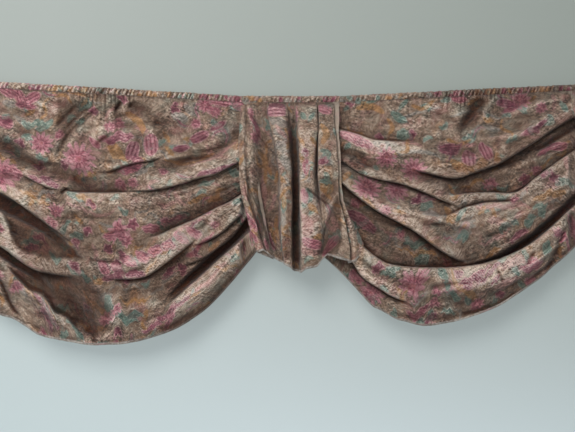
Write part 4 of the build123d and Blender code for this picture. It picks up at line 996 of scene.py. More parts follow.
def print_material(name, fade=0.0, hatch=1.0):
    """Printed cotton: watery floral inks on a taupe ground, engraved lines, a plain weave."""
    k = Nodes(name)
    uv = k.uv(1.0)
    big = k.noise(uv, 14.0, 3.0)
    mid = k.noise(uv, 60.0, 4.0, 0.6)
    fine = k.noise(uv, 260.0, 3.0, 0.6)
    brush = k.noise(k.uv(1.0, 0.6, 0.28), 210.0, 3.0, 0.65)
    c = k.mix(k.m("MULTIPLY_ADD", big, 2.6, -0.8, True), INK["ground_a"], INK["ground_b"])
    c = k.mix(k.m("MULTIPLY_ADD", mid, 2.4, -1.0, True), c, INK["ground_c"])
    tint = k.noise(k.uv(1.0, 0.9, 0.7), 32.0, 2.0)
    c = k.mix(k.m("MULTIPLY", k.m("MULTIPLY_ADD", tint, 6.0, -3.1, True), 0.55), c, (0.33, 0.13, 0.13))
    tint2 = k.noise(k.uv(1.0, 2.1, 0.8), 27.0, 2.0)
    c = k.mix(k.m("MULTIPLY", k.m("MULTIPLY_ADD", tint2, 6.0, -3.2, True), 0.50), c, (0.16, 0.22, 0.19))
    tint3 = k.noise(k.uv(1.0, 0.2, 0.5), 34.0, 3.0)
    c = k.mix(k.m("MULTIPLY", k.m("MULTIPLY_ADD", tint3, 7.0, -4.0, True), 0.55), c, (0.42, 0.20, 0.085))
    # flowing engraved contours
    flow = k.m("SINE", k.m("MULTIPLY", k.noise(k.uv(1.0, 0.5, 0.8), 26.0, 2.0, 0.5, 0.6), 95.0))
    contour = k.m("MULTIPLY_ADD", flow, 2.2, -1.3, True)
    c = k.mix(k.m("MULTIPLY", contour, 0.50 * hatch), c, (0.12, 0.075, 0.052))
    flow2 = k.m("MULTIPLY_ADD", flow, -2.4, -1.5, True)
    c = k.mix(k.m("MULTIPLY", flow2, 0.40 * hatch), c, (0.58, 0.49, 0.40))
    wob = k.m("MULTIPLY_ADD", mid, 7.0, -3.5)
    wob2 = k.m("MULTIPLY_ADD", fine, 3.2, -1.6)
    wobble = k.m("ADD", wob, wob2)
    streak = k.m("MULTIPLY_ADD", brush, 1.9, -0.45, True)
    masks = {}
    wob_flower = k.m("MULTIPLY", wobble, 0.55)
    for key, ink, op, soft in (("f_grey", "grey", 0.62, 2.4), ("f_rose", "rose", 0.62, 3.0), ("f_teal", "teal", 0.80, 2.0), ("f_gold", "gold", 0.78, 2.4), ("f_pink", "pink", 0.92, 2.0), ("f_plum", "plum", 0.98, 1.5)):
        sd = k.m("ADD", k.attr(key), wob_flower if key in ("f_pink", "f_plum") else wobble)
        mask = k.m("MULTIPLY_ADD", sd, -1.0 / soft, 0.5, True)
        masks[key] = mask
        strength = k.m("MULTIPLY", mask, k.m("MULTIPLY_ADD", streak, 0.45 * op, 0.58 * op))
        c = k.mix(strength, c, INK[ink])
        # pale engraved outline
        if key in ("f_pink", "f_plum", "f_teal"):
            ring = k.m("SUBTRACT", 1.0, k.m("MULTIPLY", k.m("ABSOLUTE", k.m("ADD", sd, 0.4)), 1.15), 0.0, True)
            broken = k.m("MULTIPLY_ADD", brush, 5.0, -2.1, True)
            c = k.mix(k.m("MULTIPLY", k.m("MULTIPLY", ring, broken), 0.72), c, (0.58, 0.50, 0.46))
            halo = k.m("SUBTRACT", 1.0, k.m("MULTIPLY", k.m("ABSOLUTE", k.m("ADD", sd, -2.0)), 0.9), 0.0, True)
            c = k.mix(k.m("MULTIPLY", halo, 0.52), c, (0.09, 0.06, 0.05))
    flower = k.m("MAXIMUM", masks["f_pink"], masks["f_plum"])
    ln = k.m("SUBTRACT", 1.0, k.m("MULTIPLY", k.m("ABSOLUTE", k.attr("f_line")), 1.05), 0.0, True)
    c = k.mix(k.m("MULTIPLY", k.m("MULTIPLY", ln, flower), 0.85), c, (0.10, 0.018, 0.04))
    mid_petal = k.m("MULTIPLY_ADD", k.m("ABSOLUTE", k.attr("f_line")), 0.9, -1.0, True)
    mid_petal = k.m("MULTIPLY", mid_petal, k.m("LESS_THAN", k.m("ABSOLUTE", k.attr("f_line")), 9.0))
    c = k.mix(k.m("MULTIPLY", k.m("MULTIPLY", mid_petal, flower), 0.46), c, (0.60, 0.35, 0.385))
    c = k.mix(k.m("MULTIPLY", k.m("MULTIPLY", ln, masks["f_teal"]), 0.5), c, (0.40, 0.40, 0.34))
    # light petals' inner glow
    glow = k.m("MULTIPLY_ADD", k.noise(uv, 95.0, 2.0), 3.2, -1.45, True)
    c = k.mix(k.m("MULTIPLY", k.m("MULTIPLY", glow, flower), 0.46), c, (0.56, 0.28, 0.315))
    # stipple of dots, stronger on the gold ink
    vor = k.new("ShaderNodeTexVoronoi")
    k.link(uv, vor.inputs["Vector"])
    vor.inputs["Scale"].default_value = 330.0
    dot = k.m("MULTIPLY_ADD", vor.outputs["Distance"], -5.0, 1.6, True)
    c = k.mix(k.m("MULTIPLY", dot, k.m("MULTIPLY_ADD", masks["f_gold"], 0.42, 0.10)), c, (0.13, 0.075, 0.045))
    # engraved lines, brush strokes and grain, as light and dark
    w1 = k.wave(k.uv(1.0, 0.85), 84.0, 5.0, "X", 1.6)
    w2 = k.wave(k.uv(1.0, -0.62), 92.0, 6.0, "X", 1.6)
    pick = k.m("MULTIPLY_ADD", big, 9.0, -4.0, True)
    lines = k.m("ADD", k.m("MULTIPLY", w1, pick), k.m("MULTIPLY", w2, k.m("SUBTRACT", 1.0, pick)))
    lines = k.m("MULTIPLY_ADD", lines, 1.6, -0.8)
    stroke = k.m("MULTIPLY_ADD", k.m("MULTIPLY_ADD", k.noise(k.uv(0.25, 0.32, 3.2), 330.0, 2.0, 0.6, 0.4), 11.0, -5.0, True), 2.0, -1.0)
    stroke2 = k.m("MULTIPLY_ADD", k.m("MULTIPLY_ADD", k.noise(k.uv(0.28, -0.62, 2.6), 290.0, 2.0, 0.6, 0.4), 11.0, -5.0, True), 2.0, -1.0)
    grain = k.m("MULTIPLY_ADD", k.noise(uv, 560.0, 2.0, 0.7), 5.0, -2.5)
    patch = k.m("MULTIPLY_ADD", k.noise(uv, 120.0, 3.0, 0.6), 4.0, -2.0)
    wide = k.m("MULTIPLY_ADD", k.noise(k.uv(1.0, 0.4, 0.6), 22.0, 2.0), 3.4, -1.7)
    v = k.m("MULTIPLY_ADD", lines, 0.30 * hatch, 1.0)
    calm = k.m("MULTIPLY_ADD", flower, -0.5, 1.0)
    busy = k.m("MULTIPLY_ADD", k.noise(k.uv(1.0, 0.3, 0.7), 19.0, 2.0), 4.2, -1.35)
    busy = k.m("MAXIMUM", k.m("MINIMUM", busy, 1.25), 0.30)
    calm = k.m("MULTIPLY", calm, busy)
    stroke = k.m("MULTIPLY", stroke, calm)
    v = k.m("MULTIPLY_ADD", stroke, 0.25 * hatch, v)
    v = k.m("MULTIPLY_ADD", k.m("MULTIPLY", stroke2, calm), 0.21 * hatch, v)
    v = k.m("MULTIPLY_ADD", grain, 0.24 * hatch, v)
    speck = k.m("MULTIPLY_ADD", k.m("MULTIPLY_ADD", k.noise(k.uv(1.0, 0.5, 1.5), 255.0, 2.0, 0.5), 12.0, -5.5, True), 2.0, -1.0)
    v = k.m("MULTIPLY_ADD", k.m("MULTIPLY", speck, busy), 0.17 * hatch, v)
    v = k.m("MULTIPLY_ADD", patch, 0.17, v)
    v = k.m("MULTIPLY_ADD", wide, 0.16, v)
    v = k.m("MAXIMUM", v, 0.22)
    # painted highlight: brighter on crests and pale facets, a little dimmer elsewhere
    v = k.m("MULTIPLY", v, k.m("MULTIPLY_ADD", k.attr("f_painted_light"), 0.62, 0.84))
    vv = k.new("ShaderNodeCombineColor")
    for i in range(3):
        k.link(v, vv.inputs[i])
    c = k.mix(1.0, c, vv.outputs[0], "MULTIPLY")
    # pale cream where the colour comes out brightest, mostly on the painted highlight and partly on light print strokes
    top = k.m("MULTIPLY_ADD", v, 1.5, -2.1, True)
    c = k.mix(k.m("MULTIPLY", top, 0.55), c, (0.74, 0.68, 0.63))
    if fade:
        c = k.mix(fade, c, (0.47, 0.41, 0.35))
    # painted shade: the colour darkens towards deep brown in recesses, below folds and on shaded facets, at half
    # strength on the wrong side
    painted_shade_amount = k.m("POWER", k.attr("f_painted_shade"), 0.76)
    if fade:
        painted_shade_amount = k.m("MULTIPLY", painted_shade_amount, 0.5)
    c = k.mix(1.0, c, k.mix(painted_shade_amount, (0.945, 0.93, 0.905), (0.172, 0.082, 0.044)), "MULTIPLY")
    k.link(c, k.bsdf.inputs["Base Color"])
    rough = k.m("MULTIPLY_ADD", mid, 0.22, 0.66)
    k.link(rough, k.bsdf.inputs["Roughness"])
    k.bsdf.inputs["Sheen Weight"].default_value = 0.14
    k.bsdf.inputs["Sheen Roughness"].default_value = 0.45
    k.bsdf.inputs["Specular IOR Level"].default_value = 0.35
    # plain weave and slubs
    weave = k.m("ADD", k.wave(uv, 330.0, 0.6, "X"), k.wave(uv, 330.0, 0.6, "Y"))
    slub = k.noise(k.uv(1.0, 0.0, 0.12), 420.0, 2.0)
    h = k.m("ADD", k.m("MULTIPLY", weave, 0.22), k.m("MULTIPLY", slub, 0.9))
    h = k.m("ADD", h, k.m("MULTIPLY", fine, 1.6))
    h = k.m("ADD", h, k.m("MULTIPLY", mid, 2.4))
    h = k.m("ADD", h, k.m("MULTIPLY", stroke, 0.30))
    h = k.m("ADD", h, k.m("MULTIPLY", patch, 0.45))
    k.link(k.bump(h, 0.7, 0.0014), k.bsdf.inputs["Normal"])
    return k.mat


def hem_material(name):
    """Rolled edge, overlocked with mixed threads."""
    k = Nodes(name)
    uv = k.uv(1.0)
    wrap = k.wave(k.uv(1.0, 0.35), 150.0, 1.5, "X")
    spots = k.noise(uv, 190.0, 2.0, 0.7)
    long = k.noise(uv, 22.0, 2.0)
    c = k.mix(k.m("MULTIPLY_ADD", spots, 3.4, -1.3, True), (0.24, 0.19, 0.16), (0.62, 0.58, 0.53))
    c = k.mix(k.m("MULTIPLY", k.m("MULTIPLY_ADD", long, 5.0, -2.8, True), 0.5), c, (0.40, 0.16, 0.20))
    c = k.mix(k.m("MULTIPLY", k.m("MULTIPLY_ADD", long, -5.0, 2.0, True), 0.45), c, (0.40, 0.50, 0.50))
    c = k.mix(k.m("MULTIPLY", k.m("MULTIPLY_ADD", wrap, 2.0, -0.9, True), 0.55), c, (0.10, 0.07, 0.055))
    # painted shade along the hem
    c = k.mix(1.0, c, k.mix(k.attr("f_painted_shade"), (1, 1, 1), (0.20, 0.14, 0.12)), "MULTIPLY")
    k.link(c, k.bsdf.inputs["Base Color"])
    k.bsdf.inputs["Roughness"].default_value = 0.82
    k.bsdf.inputs["Sheen Weight"].default_value = 0.25
    h = k.m("ADD", wrap, k.m("MULTIPLY", spots, 0.6))
    k.link(k.bump(h, 0.7, 0.0009), k.bsdf.inputs["Normal"])
    return k.mat


def tape_material(name, tone):
    """Woven cotton tape with a herringbone weave."""
    k = Nodes(name)
    uv = k.uv(1.0)
    a = k.wave(k.uv(1.0, 0.785), 240.0, 0.3, "X")
    b = k.wave(k.uv(1.0, -0.785), 240.0, 0.3, "X")
    side = k.m("GREATER_THAN", k.wave(uv, 45.0, 0.0, "X"), 0.5)
    rib = k.m("ADD", k.m("MULTIPLY", a, side), k.m("MULTIPLY", b, k.m("SUBTRACT", 1.0, side)))
    soil = k.noise(uv, 40.0, 4.0)
    c = k.mix(k.m("MULTIPLY_ADD", soil, 2.0, -0.6, True), tone, tuple(x * 0.78 for x in tone))
    c = k.mix(k.m("MULTIPLY", rib, 0.25), c, tuple(x * 0.55 for x in tone))
    k.link(c, k.bsdf.inputs["Base Color"])
    k.bsdf.inputs["Roughness"].default_value = 0.85
    k.bsdf.inputs["Sheen Weight"].default_value = 0.2
    k.link(k.bump(rib, 0.6, 0.0005), k.bsdf.inputs["Normal"])
    return k.mat


def plain_material(name, color, rough, metallic=0.0, scale=400.0, amount=0.12, bump=0.0002):
    """Wire sleeve, steel and thread: fine mottling in the object's own space."""
    k = Nodes(name)
    vec = k.new("ShaderNodeTexCoord").outputs["Object"]
    n = k.noise(vec, scale, 4.0, 0.6)
    n2 = k.noise(vec, scale * 0.12, 2.0)
    c = k.mix(k.m("MULTIPLY_ADD", n2, 2.0, -0.6, True), color, tuple(x * (1 - amount) for x in color))
    c = k.mix(k.m("MULTIPLY", n, amount), c, tuple(x * 0.55 for x in color))
    k.link(c, k.bsdf.inputs["Base Color"])
    k.link(k.m("MULTIPLY_ADD", n, 0.25, rough - 0.12), k.bsdf.inputs["Roughness"])
    k.bsdf.inputs["Metallic"].default_value = metallic
    k.link(k.bump(n, 0.4, bump), k.bsdf.inputs["Normal"])
    return k.mat


PRINT = print_material("printed_cotton")
WRONG = print_material("printed_cotton_wrong_side", fade=0.55, hatch=0.5)
HEM = hem_material("overlocked_hem")
TAPE = tape_material("gathering_tape", (0.62, 0.58, 0.50))
THREAD = plain_material("sewing_thread", (0.36, 0.27, 0.21), 0.7, scale=900.0)
SLEEVE = plain_material("wire_sleeve", (0.78, 0.78, 0.74), 0.38, scale=150.0, amount=0.10)
STEEL = plain_material("zinc_steel", (0.60, 0.60, 0.60), 0.34, metallic=1.0, scale=300.0, amount=0.2)
SPRING = plain_material("spring_steel", (0.42, 0.43, 0.45), 0.40, metallic=1.0, scale=500.0, amount=0.25)


# ------------------------------------------------------------------- pieces
CLOTH = 0.0008


def make_panel(shape, name, node, body, printer, seed, density=0.75):
    P = shape["p"]
    V = cloth_coords(P)
    step = np.linalg.norm(np.diff(P, axis=1), axis=-1)
    if shape.get("pleated"):
        mean = step[len(step) // 3: 2 * len(step) // 3].mean(0)
        U = np.concatenate([[0.0], np.cumsum(mean)])[None] + 0 * V
    else:
        U = P[..., 0] - P[:1, :1, 0] + 0 * V
    pr = Print(U, V)
    scatter(pr, seed, density)
    if printer:
        printer(pr, place(shape, U, V))
    ob = grid_mesh(name, P, U, V, {**pr.f, "f_painted_shade": shape["dark"], "f_painted_light": shape["pale"]})
    area = 0.5 * (np.linalg.norm(np.cross(P[1:, :-1] - P[:-1, :-1], P[:-1, 1:] - P[:-1, :-1]), axis=-1).sum()
                  + np.linalg.norm(np.cross(P[1:, 1:] - P[1:, :-1], P[1:, 1:] - P[:-1, 1:]), axis=-1).sum())
    wide = float(np.linalg.norm(np.diff(P, axis=1), axis=-1).sum(1).mean())
    long = float(V[-1].mean())
    thicken(ob, CLOTH, [PRINT, WRONG])
    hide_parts(node)
    return ob, {"area": float(area), "wide": wide, "long": long}


def make_casing(name, node, x0, x1, seed, bunch=None, printer=None):
    """The gathered rod casing: a ribbed tube of cloth with two rows of shirring stitches."""
    length = x1 - x0
    nx = int(length / 0.0010)
    nphi = 30
    xs = np.linspace(x0, x1, nx + 1)
    rng = np.random.default_rng(seed)
    rib = np.zeros((nx + 1, 4))
    # painted shade in the crevice between gathered ridges
    slit_shade = np.zeros((nx + 1, 4))
    x = x0 - 0.01
    while x < x1 + 0.01:
        dense = 0.0 if bunch is None else math.exp(-(((x - bunch) / 0.045) ** 2))
        gap = rng.uniform(0.0054, 0.0108) * (1 - 0.15 * dense)
        w = 0.30 * gap
        h = rng.uniform(0.6, 2.0) + 1.9 * dense * rng.uniform(0.4, 1.0)
        for c in range(4):
            rib[:, c] += h * rng.uniform(0.6, 1.1) * np.exp(-(((xs - x + rng.uniform(-0.0008, 0.0008)) / w) ** 2))
            at = x + gap * rng.uniform(0.42, 0.62)
            slit_shade[:, c] += rng.uniform(0.0, 1.25) ** 1.3 * (1 + 0.9 * dense) * np.exp(-(((xs - at - rng.uniform(-0.0007, 0.0007)) / (0.0013 + 0.0010 * dense)) ** 2))
        x += gap
    n1, n2 = Noise(seed + 1), Noise(seed + 2)
    D, L = np.zeros((nphi + 1, nx + 1)), np.zeros((nphi + 1, nx + 1))
    # thick scales the painted shade in the crevices; lift is painted light, brighter towards the left end; base is
    # painted shade, darker towards the right end
    thick = np.interp(xs, (-0.50, -0.43), (0.62, 1.0)) * np.clip(0.72 + 0.70 * n2(xs * 26, 7.7) + (0 if bunch is None else 0.55 * np.exp(-(((xs - bunch) / 0.06) ** 2))), 0.22, 1.1)
    lift = np.interp(xs, (-0.7, -0.52, -0.44, -0.34, 0.0, 0.60), (1.9, 2.0, 1.45, 1.10, 1.00, 0.95))
    base = np.interp(xs, (-0.7, -0.45, -0.40, -0.10, 0.02, 0.16, 0.26, 0.40, 0.54, 0.60), (0.0, 0.0, 0.0, 0.02, 0.04, 0.05, 0.20, 0.36, 0.42, 0.20))
    phi = np.linspace(0, 2 * np.pi, nphi + 1)  # 0 at the bottom, then front, top, back
    P = np.zeros((nphi + 1, nx + 1, 3))
    for i, p in enumerate(phi):
        c = (p / (2 * np.pi) * 4) % 4
        a, b, f = int(c) % 4, (int(c) + 1) % 4, c - int(c)
        ridge = rib[:, a] * (1 - f) + rib[:, b] * f
        ridge = np.interp(xs + 0.0032 * math.cos(p), xs, ridge)
        slit_shade_here = slit_shade[:, a] * (1 - f) + slit_shade[:, b] * f
        slit_shade_here = np.interp(xs + 0.0032 * math.cos(p), xs, slit_shade_here)
        # D is painted shade in the crevices and towards the right end; L is painted highlight on the gather ridges
        D[i] = 1 - (1 - np.clip(np.clip(slit_shade_here, 0, 1.1) * thick, 0, 1)) * (1 - base)
        L[i] = np.clip(0.70 + (ridge - 1.2) / 1.7, 0.25, 1.4) * lift * (1 - 0.5 * base)
        cz, cy = -math.cos(p), -math.sin(p)
        stitch = math.exp(-(((cz + 0.62) / 0.10) ** 2)) + 0.8 * math.exp(-(((cz - 0.66) / 0.09) ** 2))
        r_y = 4.1 + ridge - 0.9 * stitch + 0.35 * n1(xs * 180, p * 2)
        r_z = 7.7 + ridge * 0.75 + 0.45 * n2(xs * 160, p * 2)
        r_y = np.clip(r_y, 3.2, 7.2)
        y = cy * r_y / 1000
        z = cz * np.clip(r_z, 7.4, 10.2) / 1000
        z = z + 0.0004 * n1(xs * 45, 3.3)
        P[i, :, 0], P[i, :, 1], P[i, :, 2] = xs, y, wire_z(xs) + z
    P, D, L = P[::-1], D[::-1], L[::-1]  # the printed side faces out
    V = np.repeat((phi / (2 * np.pi) * 0.045)[:, None], nx + 1, 1)
    U = np.repeat(((xs - x0) * 1.35)[None], nphi + 1, 0)
    pr = Print(U, V)
    scatter(pr, seed + 7, 0.6)
    shape = {"u": 287.5 + (P[..., 0] - CAM[0]) / PIX, "v": 216 - (P[..., 2] - CAM[2]) / PIX + np.where(P[..., 1] > 0, 500, 0)}
    if printer:
        printer(pr, place(shape, U, V))
    ob = grid_mesh(name, P, U, V, {**pr.f, "f_painted_shade": D, "f_painted_light": L})
    thicken(ob, 0.0006, [PRINT, WRONG])
    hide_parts(node)
    return ob


def casing_front(x, h, lift=0.0):
    """A point on a casing's front at height h (mm from the wire)."""
    c = np.clip(h / 8.8, -1, 1)
    y = -(5.0 * np.sqrt(1 - c * c) + lift) / 1000
    return np.stack([x, y + 0 * x, wire_z(x) + h / 1000], -1)


def make_stitches(name, casing, rows, x0, x1, seed, on_back=False):
    """Two rows of running stitches, each stitch a small bent thread lying on the casing."""
    rng = np.random.default_rng(seed)
    dg = bpy.context.evaluated_depsgraph_get()
    bpy.context.view_layer.update()
    verts, faces = [], []
    sides = 6
    for h in rows:
        x = x0 + 0.004
        while x < x1 - 0.004:
            ln = rng.uniform(0.0022, 0.0030)
            pts = []
            ok = True
            for f in (0.0, 0.25, 0.5, 0.75, 1.0):
                px = x + ln * f
                z = float(wire_z(np.array(px))) + h / 1000 + rng.uniform(-0.00008, 0.00008)
                hit, loc, nor, _ = casing.ray_cast(Vector((px, -0.05, z)), Vector((0, 1, 0)))
                if not hit or loc.y > 0:
                    ok = False
                    break
                arch = 0.00032 * math.sin(math.pi * f) - 0.0002
                pts.append(Vector((px, loc.y - arch - 0.0001, z)))
            if ok:
                base = len(verts)
                for q, pt in enumerate(pts):
                    rad = 0.00030 * (1.0 if 0 < q < 4 else 0.55)
                    for s in range(sides):
                        a = 2 * math.pi * s / sides
                        verts.append((pt.x, pt.y + rad * math.cos(a), pt.z + rad * math.sin(a)))
                for q in range(4):
                    for s in range(sides):
                        a, b = base + q * sides + s, base + q * sides + (s + 1) % sides
                        faces.append((a, b, b + sides, a + sides))
                faces.append(tuple(base + s for s in range(sides))[::-1])
                faces.append(tuple(base + 4 * sides + s for s in range(sides)))
            x += ln + rng.uniform(0.0012, 0.0018)
    mesh = bpy.data.meshes.new(name)
    mesh.from_pydata(verts, [], faces)
    mesh.shade_smooth()
    ob = bpy.data.objects.new(name, mesh)
    scene.collection.objects.link(ob)
    ob.data.materials.append(THREAD)
    return ob


def make_hem(name, node, edge, inner, seed, shade, height=0.0046, half=0.00125):
    """A rolled hem: an oval roll of cloth wrapped round the panel's lower edge, slightly puckered."""
    n1 = Noise(seed)
    run = np.concatenate([[0], np.cumsum(np.linalg.norm(np.diff(edge, axis=0), axis=-1))])
    sides = 14
    down = edge - inner
    down /= np.linalg.norm(down, axis=-1)[:, None] + 1e-9
    tan = np.gradient(edge, axis=0)
    tan /= np.linalg.norm(tan, axis=-1)[:, None] + 1e-9
    nrm = np.cross(tan, down)
    nrm /= np.linalg.norm(nrm, axis=-1)[:, None] + 1e-9
    for _ in range(2):
        down[1:-1] = (down[:-2] + 2 * down[1:-1] + down[2:]) / 4
        nrm[1:-1] = (nrm[:-2] + 2 * nrm[1:-1] + nrm[2:]) / 4
    P = np.zeros((sides + 1, len(edge), 3))
    for i in range(sides + 1):
        a = 2 * math.pi * i / sides
        pucker = 1 + 0.22 * n1(run * 260, 1.5 + math.cos(a)) + 0.10 * n1(run * 700, 4.5 + math.sin(a))
        P[i] = edge - down * 0.0004 + down * (math.cos(a) * height * 0.5 * (1 + 0.10 * n1(run * 120, 9.1)))[:, None] + nrm * (math.sin(a) * half * pucker)[:, None]
    U = np.repeat(run[None], sides + 1, 0)
    V = np.repeat((np.arange(sides + 1) / sides * 0.011)[:, None], len(edge), 1)
    ob = grid_mesh(name, P, U, V, {"f_painted_shade": np.repeat(shade[None], sides + 1, 0)})
    ob.data.materials.append(HEM)
    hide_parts(node)
    return ob


def make_tape(name, node, shape, j0, j1, seed):
    """A narrow tape stitched down the back of a swag's pleated end, bridging its tucks."""
    P = shape["p"]
    n1 = Noise(seed)
    cols = np.linspace(j0, j1, 9)
    lo, hi = max(int(min(j0, j1)) - 1, 0), min(int(max(j0, j1)) + 3, P.shape[1])
    near = P[:, lo:hi].reshape(-1, 3)
    top = P[2, lo:hi, 2].mean()
    low = P[-3, lo:hi, 2].mean() + 0.002
    zs = np.linspace(top, low, 130)
    back = np.array([near[np.abs(near[:, 2] - z) < 0.005, 1].max(initial=-0.06) for z in zs])
    for _ in range(30):
        back[1:-1] = np.maximum(back[1:-1], (back[:-2] + back[2:]) / 2)
    out = np.zeros((len(zs), len(cols), 3))
    for c, j in enumerate(cols):
        line = P[:, min(int(round(j)), P.shape[1] - 1)]
        order = np.argsort(line[:, 2])
        x = np.interp(zs, line[order, 2], line[order, 0])
        out[:, c, 0] = np.convolve(np.pad(x, 6, mode="edge"), np.ones(13) / 13, "valid")
    out[..., 1] = back[:, None] + 0.0024 + 0.0005 * n1(np.arange(len(zs))[:, None] * 0.3, cols[None] * 0.3)
    out[..., 1] += 0.0005 * (np.sin(np.linspace(0, 2 * np.pi * 2, len(cols))) ** 2)[None]
    out[..., 2] = zs[:, None]
    V = np.vstack([np.zeros((1, len(cols))), np.cumsum(np.linalg.norm(np.diff(out, axis=0), axis=-1), 0)])
    U = np.repeat(np.linspace(0, 0.011, len(cols))[None], len(zs), 0)
    ob = grid_mesh(name, out, U, V, {})
    thicken(ob, 0.0007, [TAPE])
    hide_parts(node)
    return ob


def hem_of(shape, name, node, seed, shade=((0, 0.25), (1, 0.25))):
    P = shape["p"]
    tone = np.array(shade, float)
    return make_hem(name, node, P[-1].copy(), P[-4].copy(), seed, np.interp(shape["u"][-1], tone[:, 0], tone[:, 1]))


# painted shade along each hem, by place across the view
HEM_SHADE = {
    "left": ((-60, 0.35), (0, 0.3), (60, 0.15), (110, 0.2), (150, 0.55), (175, 0.85), (262, 0.9)),
    "right": ((317, 0.5), (352, 0.4), (440, 0.4), (462, 0.12), (514, 0.12), (530, 0.55), (603, 0.7)),
}


facts = {}
WIRE = "wire_and_swags"

# swags
left = swag_shape("left", -64.0, 262.0, -45.0, 243.0, LEFT_HEM, LEFT_FOLDS, LEFT_FACETS, 105.0, 11)
right = swag_shape("right", 317.0, 601.0, 340.0, 570.0, RIGHT_HEM, RIGHT_FOLDS, RIGHT_FACETS, 475.0, 23)

for side, shape, printer, bunch, x0, x1 in (("left", left, print_left, -0.381, -0.6728, -0.0976), ("right", right, print_right, 0.367, 0.0976, 0.5568)):
    panel, facts[side + "_swag"] = make_panel(shape, side + "_swag_cloth", side + "_swag_panel", WIRE, printer, 61 if side == "left" else 67, 0.58 if side == "left" else 0.44)
    hem = hem_of(shape, side + "_swag_rolled_hem", side + "_swag_hem", 71, HEM_SHADE[side])
    case = make_casing(side + "_swag_gathered_casing", side + "_swag_casing", x0, x1, 81 if side == "left" else 85, bunch, CASING_LEFT if side == "left" else CASING_RIGHT)
    stitches = make_stitches(side + "_swag_shirring_stitches", case, (-5.4, 5.8), x0, x1, 91)
    n = shape["p"].shape[1] - 1
    tapes = []
    for end, j0, j1 in (("start", 3, 7), ("stop", n - 7, n - 3)):
        outer = (side == "left") == (end == "start")
        which = "outer" if outer else "inner"
        tapes.append(make_tape(f"{side}_swag_{which}_gathering_tape", f"{side}_swag_{which}_tape", shape, j0, j1, 95))
    for ob in (panel, hem, case, stitches, *tapes):
        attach(ob, WIRE)

# centre tail
tail = tail_shape("center", TAIL_EDGES, LEVELS, 31, rows=190, step=0.95, facets=TAIL_FACETS)
tail["p"] = to_world(tail["u"], tail["v"], tail["y"])
tail["pleated"] = True
panel, facts["center_tail"] = make_panel(tail, "center_tail_cloth", "center_tail_panel", "center_tail", print_center, 73)
hem = hem_of(tail, "center_tail_rolled_hem", "center_tail_hem", 75)
case = make_casing("center_tail_gathered_casing", "center_tail_casing", -0.0963, 0.0963, 87, None, CASING_CENTER)
stitches = make_stitches("center_tail_shirring_stitches", case, (-5.4, 5.8), -0.0963, 0.0963, 93)
for ob in (panel, hem, case, stitches):
    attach(ob, "center_tail")

# end tails
for side, sgn, x0, x1 in (("left", -1, -0.8628, -0.6738), ("right", 1, 0.5578, 0.7468)):
    shape = end_tail_shape(side, sgn, 33 if sgn < 0 else 37)
    shape["p"] = to_world(shape["u"], shape["v"], shape["y"])
    shape["pleated"] = True
    header, body = side + "_tail_header", side + "_tail"
    panel, facts[body] = make_panel(shape, side + "_tail_cloth", side + "_tail_panel", body, None, 77 if sgn < 0 else 79, 1.0)
    hem = hem_of(shape, side + "_tail_rolled_hem", side + "_tail_hem", 76)
    case = make_casing(side + "_tail_gathered_casing", side + "_tail_casing", x0, x1, 88 if sgn < 0 else 89)
    stitches = make_stitches(side + "_tail_shirring_stitches", case, (-5.4, 5.8), x0, x1, 94)
    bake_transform(panel)
    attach(hem, body)
    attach(case, header)
    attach(stitches, header)

# wire and eyes keep their CAD shapes
for node, mat in (("hanging_wire_core", SPRING), ("hanging_wire_sheath", SLEEVE), ("screw_eye_left", STEEL), ("screw_eye_right", STEEL)):
    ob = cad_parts[node]
    if not ob.material_slots:
        ob.data.materials.append(mat)
    for s in ob.material_slots:
        s.material = mat


# -------------------------------------------------------------------- stage
def stage_plane(name, corners, mat):
    mesh = bpy.data.meshes.new(name)
    mesh.from_pydata(corners, [], [tuple(range(len(corners)))])
    ob = bpy.data.objects.new(name, mesh)
    scene.collection.objects.link(ob)
    ob.data.materials.append(mat)
    return ob


# The backdrop carries painted light: it glows in its own colour, brighter towards the bottom, a little less so at the
# bottom left, and darker towards the top right
wall = Nodes("stage_wall")
geo = wall.new("ShaderNodeNewGeometry")
sep = wall.new("ShaderNodeSeparateXYZ")
wall.link(geo.outputs["Position"], sep.inputs[0])
low = wall.m("MULTIPLY_ADD", sep.outputs["Z"], -1.3, -0.05, True)
tone = wall.mix(low, (0.222, 0.243, 0.231), (0.375, 0.430, 0.448))
west = wall.m("MULTIPLY", low, wall.m("MULTIPLY_ADD", sep.outputs["X"], -1.6, 0.0, True))
tone = wall.mix(wall.m("MULTIPLY", west, 0.75), tone, (0.305, 0.355, 0.360))
east = wall.m("MULTIPLY_ADD", sep.outputs["X"], 0.70, 0.34, True)
east = wall.m("MULTIPLY", east, wall.m("SUBTRACT", 1.0, low))
tone = wall.mix(wall.m("MULTIPLY", east, 0.62), tone, (0.128, 0.146, 0.128))
wall.link(tone, wall.bsdf.inputs["Base Color"])
wall.bsdf.inputs["Roughness"].default_value = 0.9
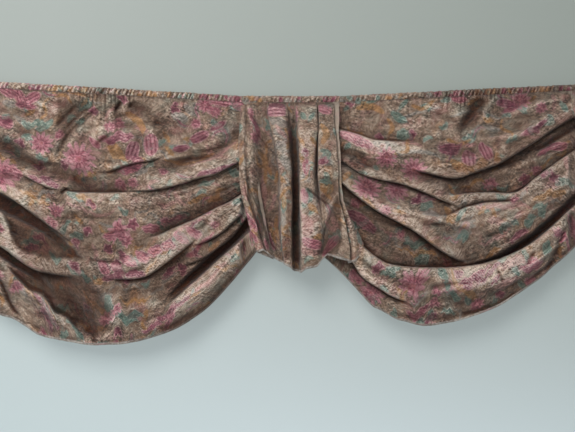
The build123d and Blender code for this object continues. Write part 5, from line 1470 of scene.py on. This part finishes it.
wall.link(tone, wall.bsdf.inputs["Emission Color"])
wall.bsdf.inputs["Emission Strength"].default_value = 0.74
clear = wall.new("ShaderNodeBsdfTransparent")
blend_sh = wall.new("ShaderNodeMixShader")
wall.link(geo.outputs["Backfacing"], blend_sh.inputs[0])
wall.link(wall.bsdf.outputs[0], blend_sh.inputs[1])
wall.link(clear.outputs[0], blend_sh.inputs[2])
wall.link(blend_sh.outputs[0], wall.t.nodes["Material Output"].inputs[0])
backdrop = stage_plane("backdrop", [(-3, 0.022, -1.25), (3, 0.022, -1.25), (3, 0.022, 1.6), (-3, 0.022, 1.6)], wall.mat)
backdrop.visible_transmission = False
backdrop.visible_shadow = False

floor_mat = Nodes("stage_floor")
floor_mat.bsdf.inputs["Base Color"].default_value = (0.62, 0.63, 0.62, 1)
floor_mat.bsdf.inputs["Roughness"].default_value = 0.9
stage_plane("floor", [(-4, -4, -1.25), (4, -4, -1.25), (4, 4, -1.25), (-4, 4, -1.25)], floor_mat.mat)


def area_light(name, loc, target, size, power, color):
    data = bpy.data.lights.new(name, "AREA")
    data.size = size
    data.energy = power
    data.color = color
    ob = bpy.data.objects.new(name, data)
    scene.collection.objects.link(ob)
    ob.location = loc
    ob.rotation_euler = (Vector(target) - Vector(loc)).to_track_quat("-Z", "Y").to_euler()
    return ob


area_light("key", (-0.85, -2.0, 1.25), (0, 0, -0.25), 1.4, 60, (1.0, 0.985, 0.96))
area_light("fill", (-0.6, -2.4, -1.05), (0, 0, -0.5), 1.8, 17, (0.90, 0.96, 1.0))
area_light("back_fill", (0.4, 2.2, 0.1), (0, 0, -0.22), 1.8, 26, (1.0, 0.99, 0.97))
world = bpy.data.worlds.new("world")
world.use_nodes = True
world.node_tree.nodes["Background"].inputs[0].default_value = (0.80, 0.87, 0.90, 1)
world.node_tree.nodes["Background"].inputs[1].default_value = 0.24
scene.world = world
scene.view_settings.view_transform = "Standard"
scene.view_settings.look = "None"

print("FACTS", json.dumps({k: {a: round(b, 4) for a, b in v.items()} for k, v in facts.items()}))
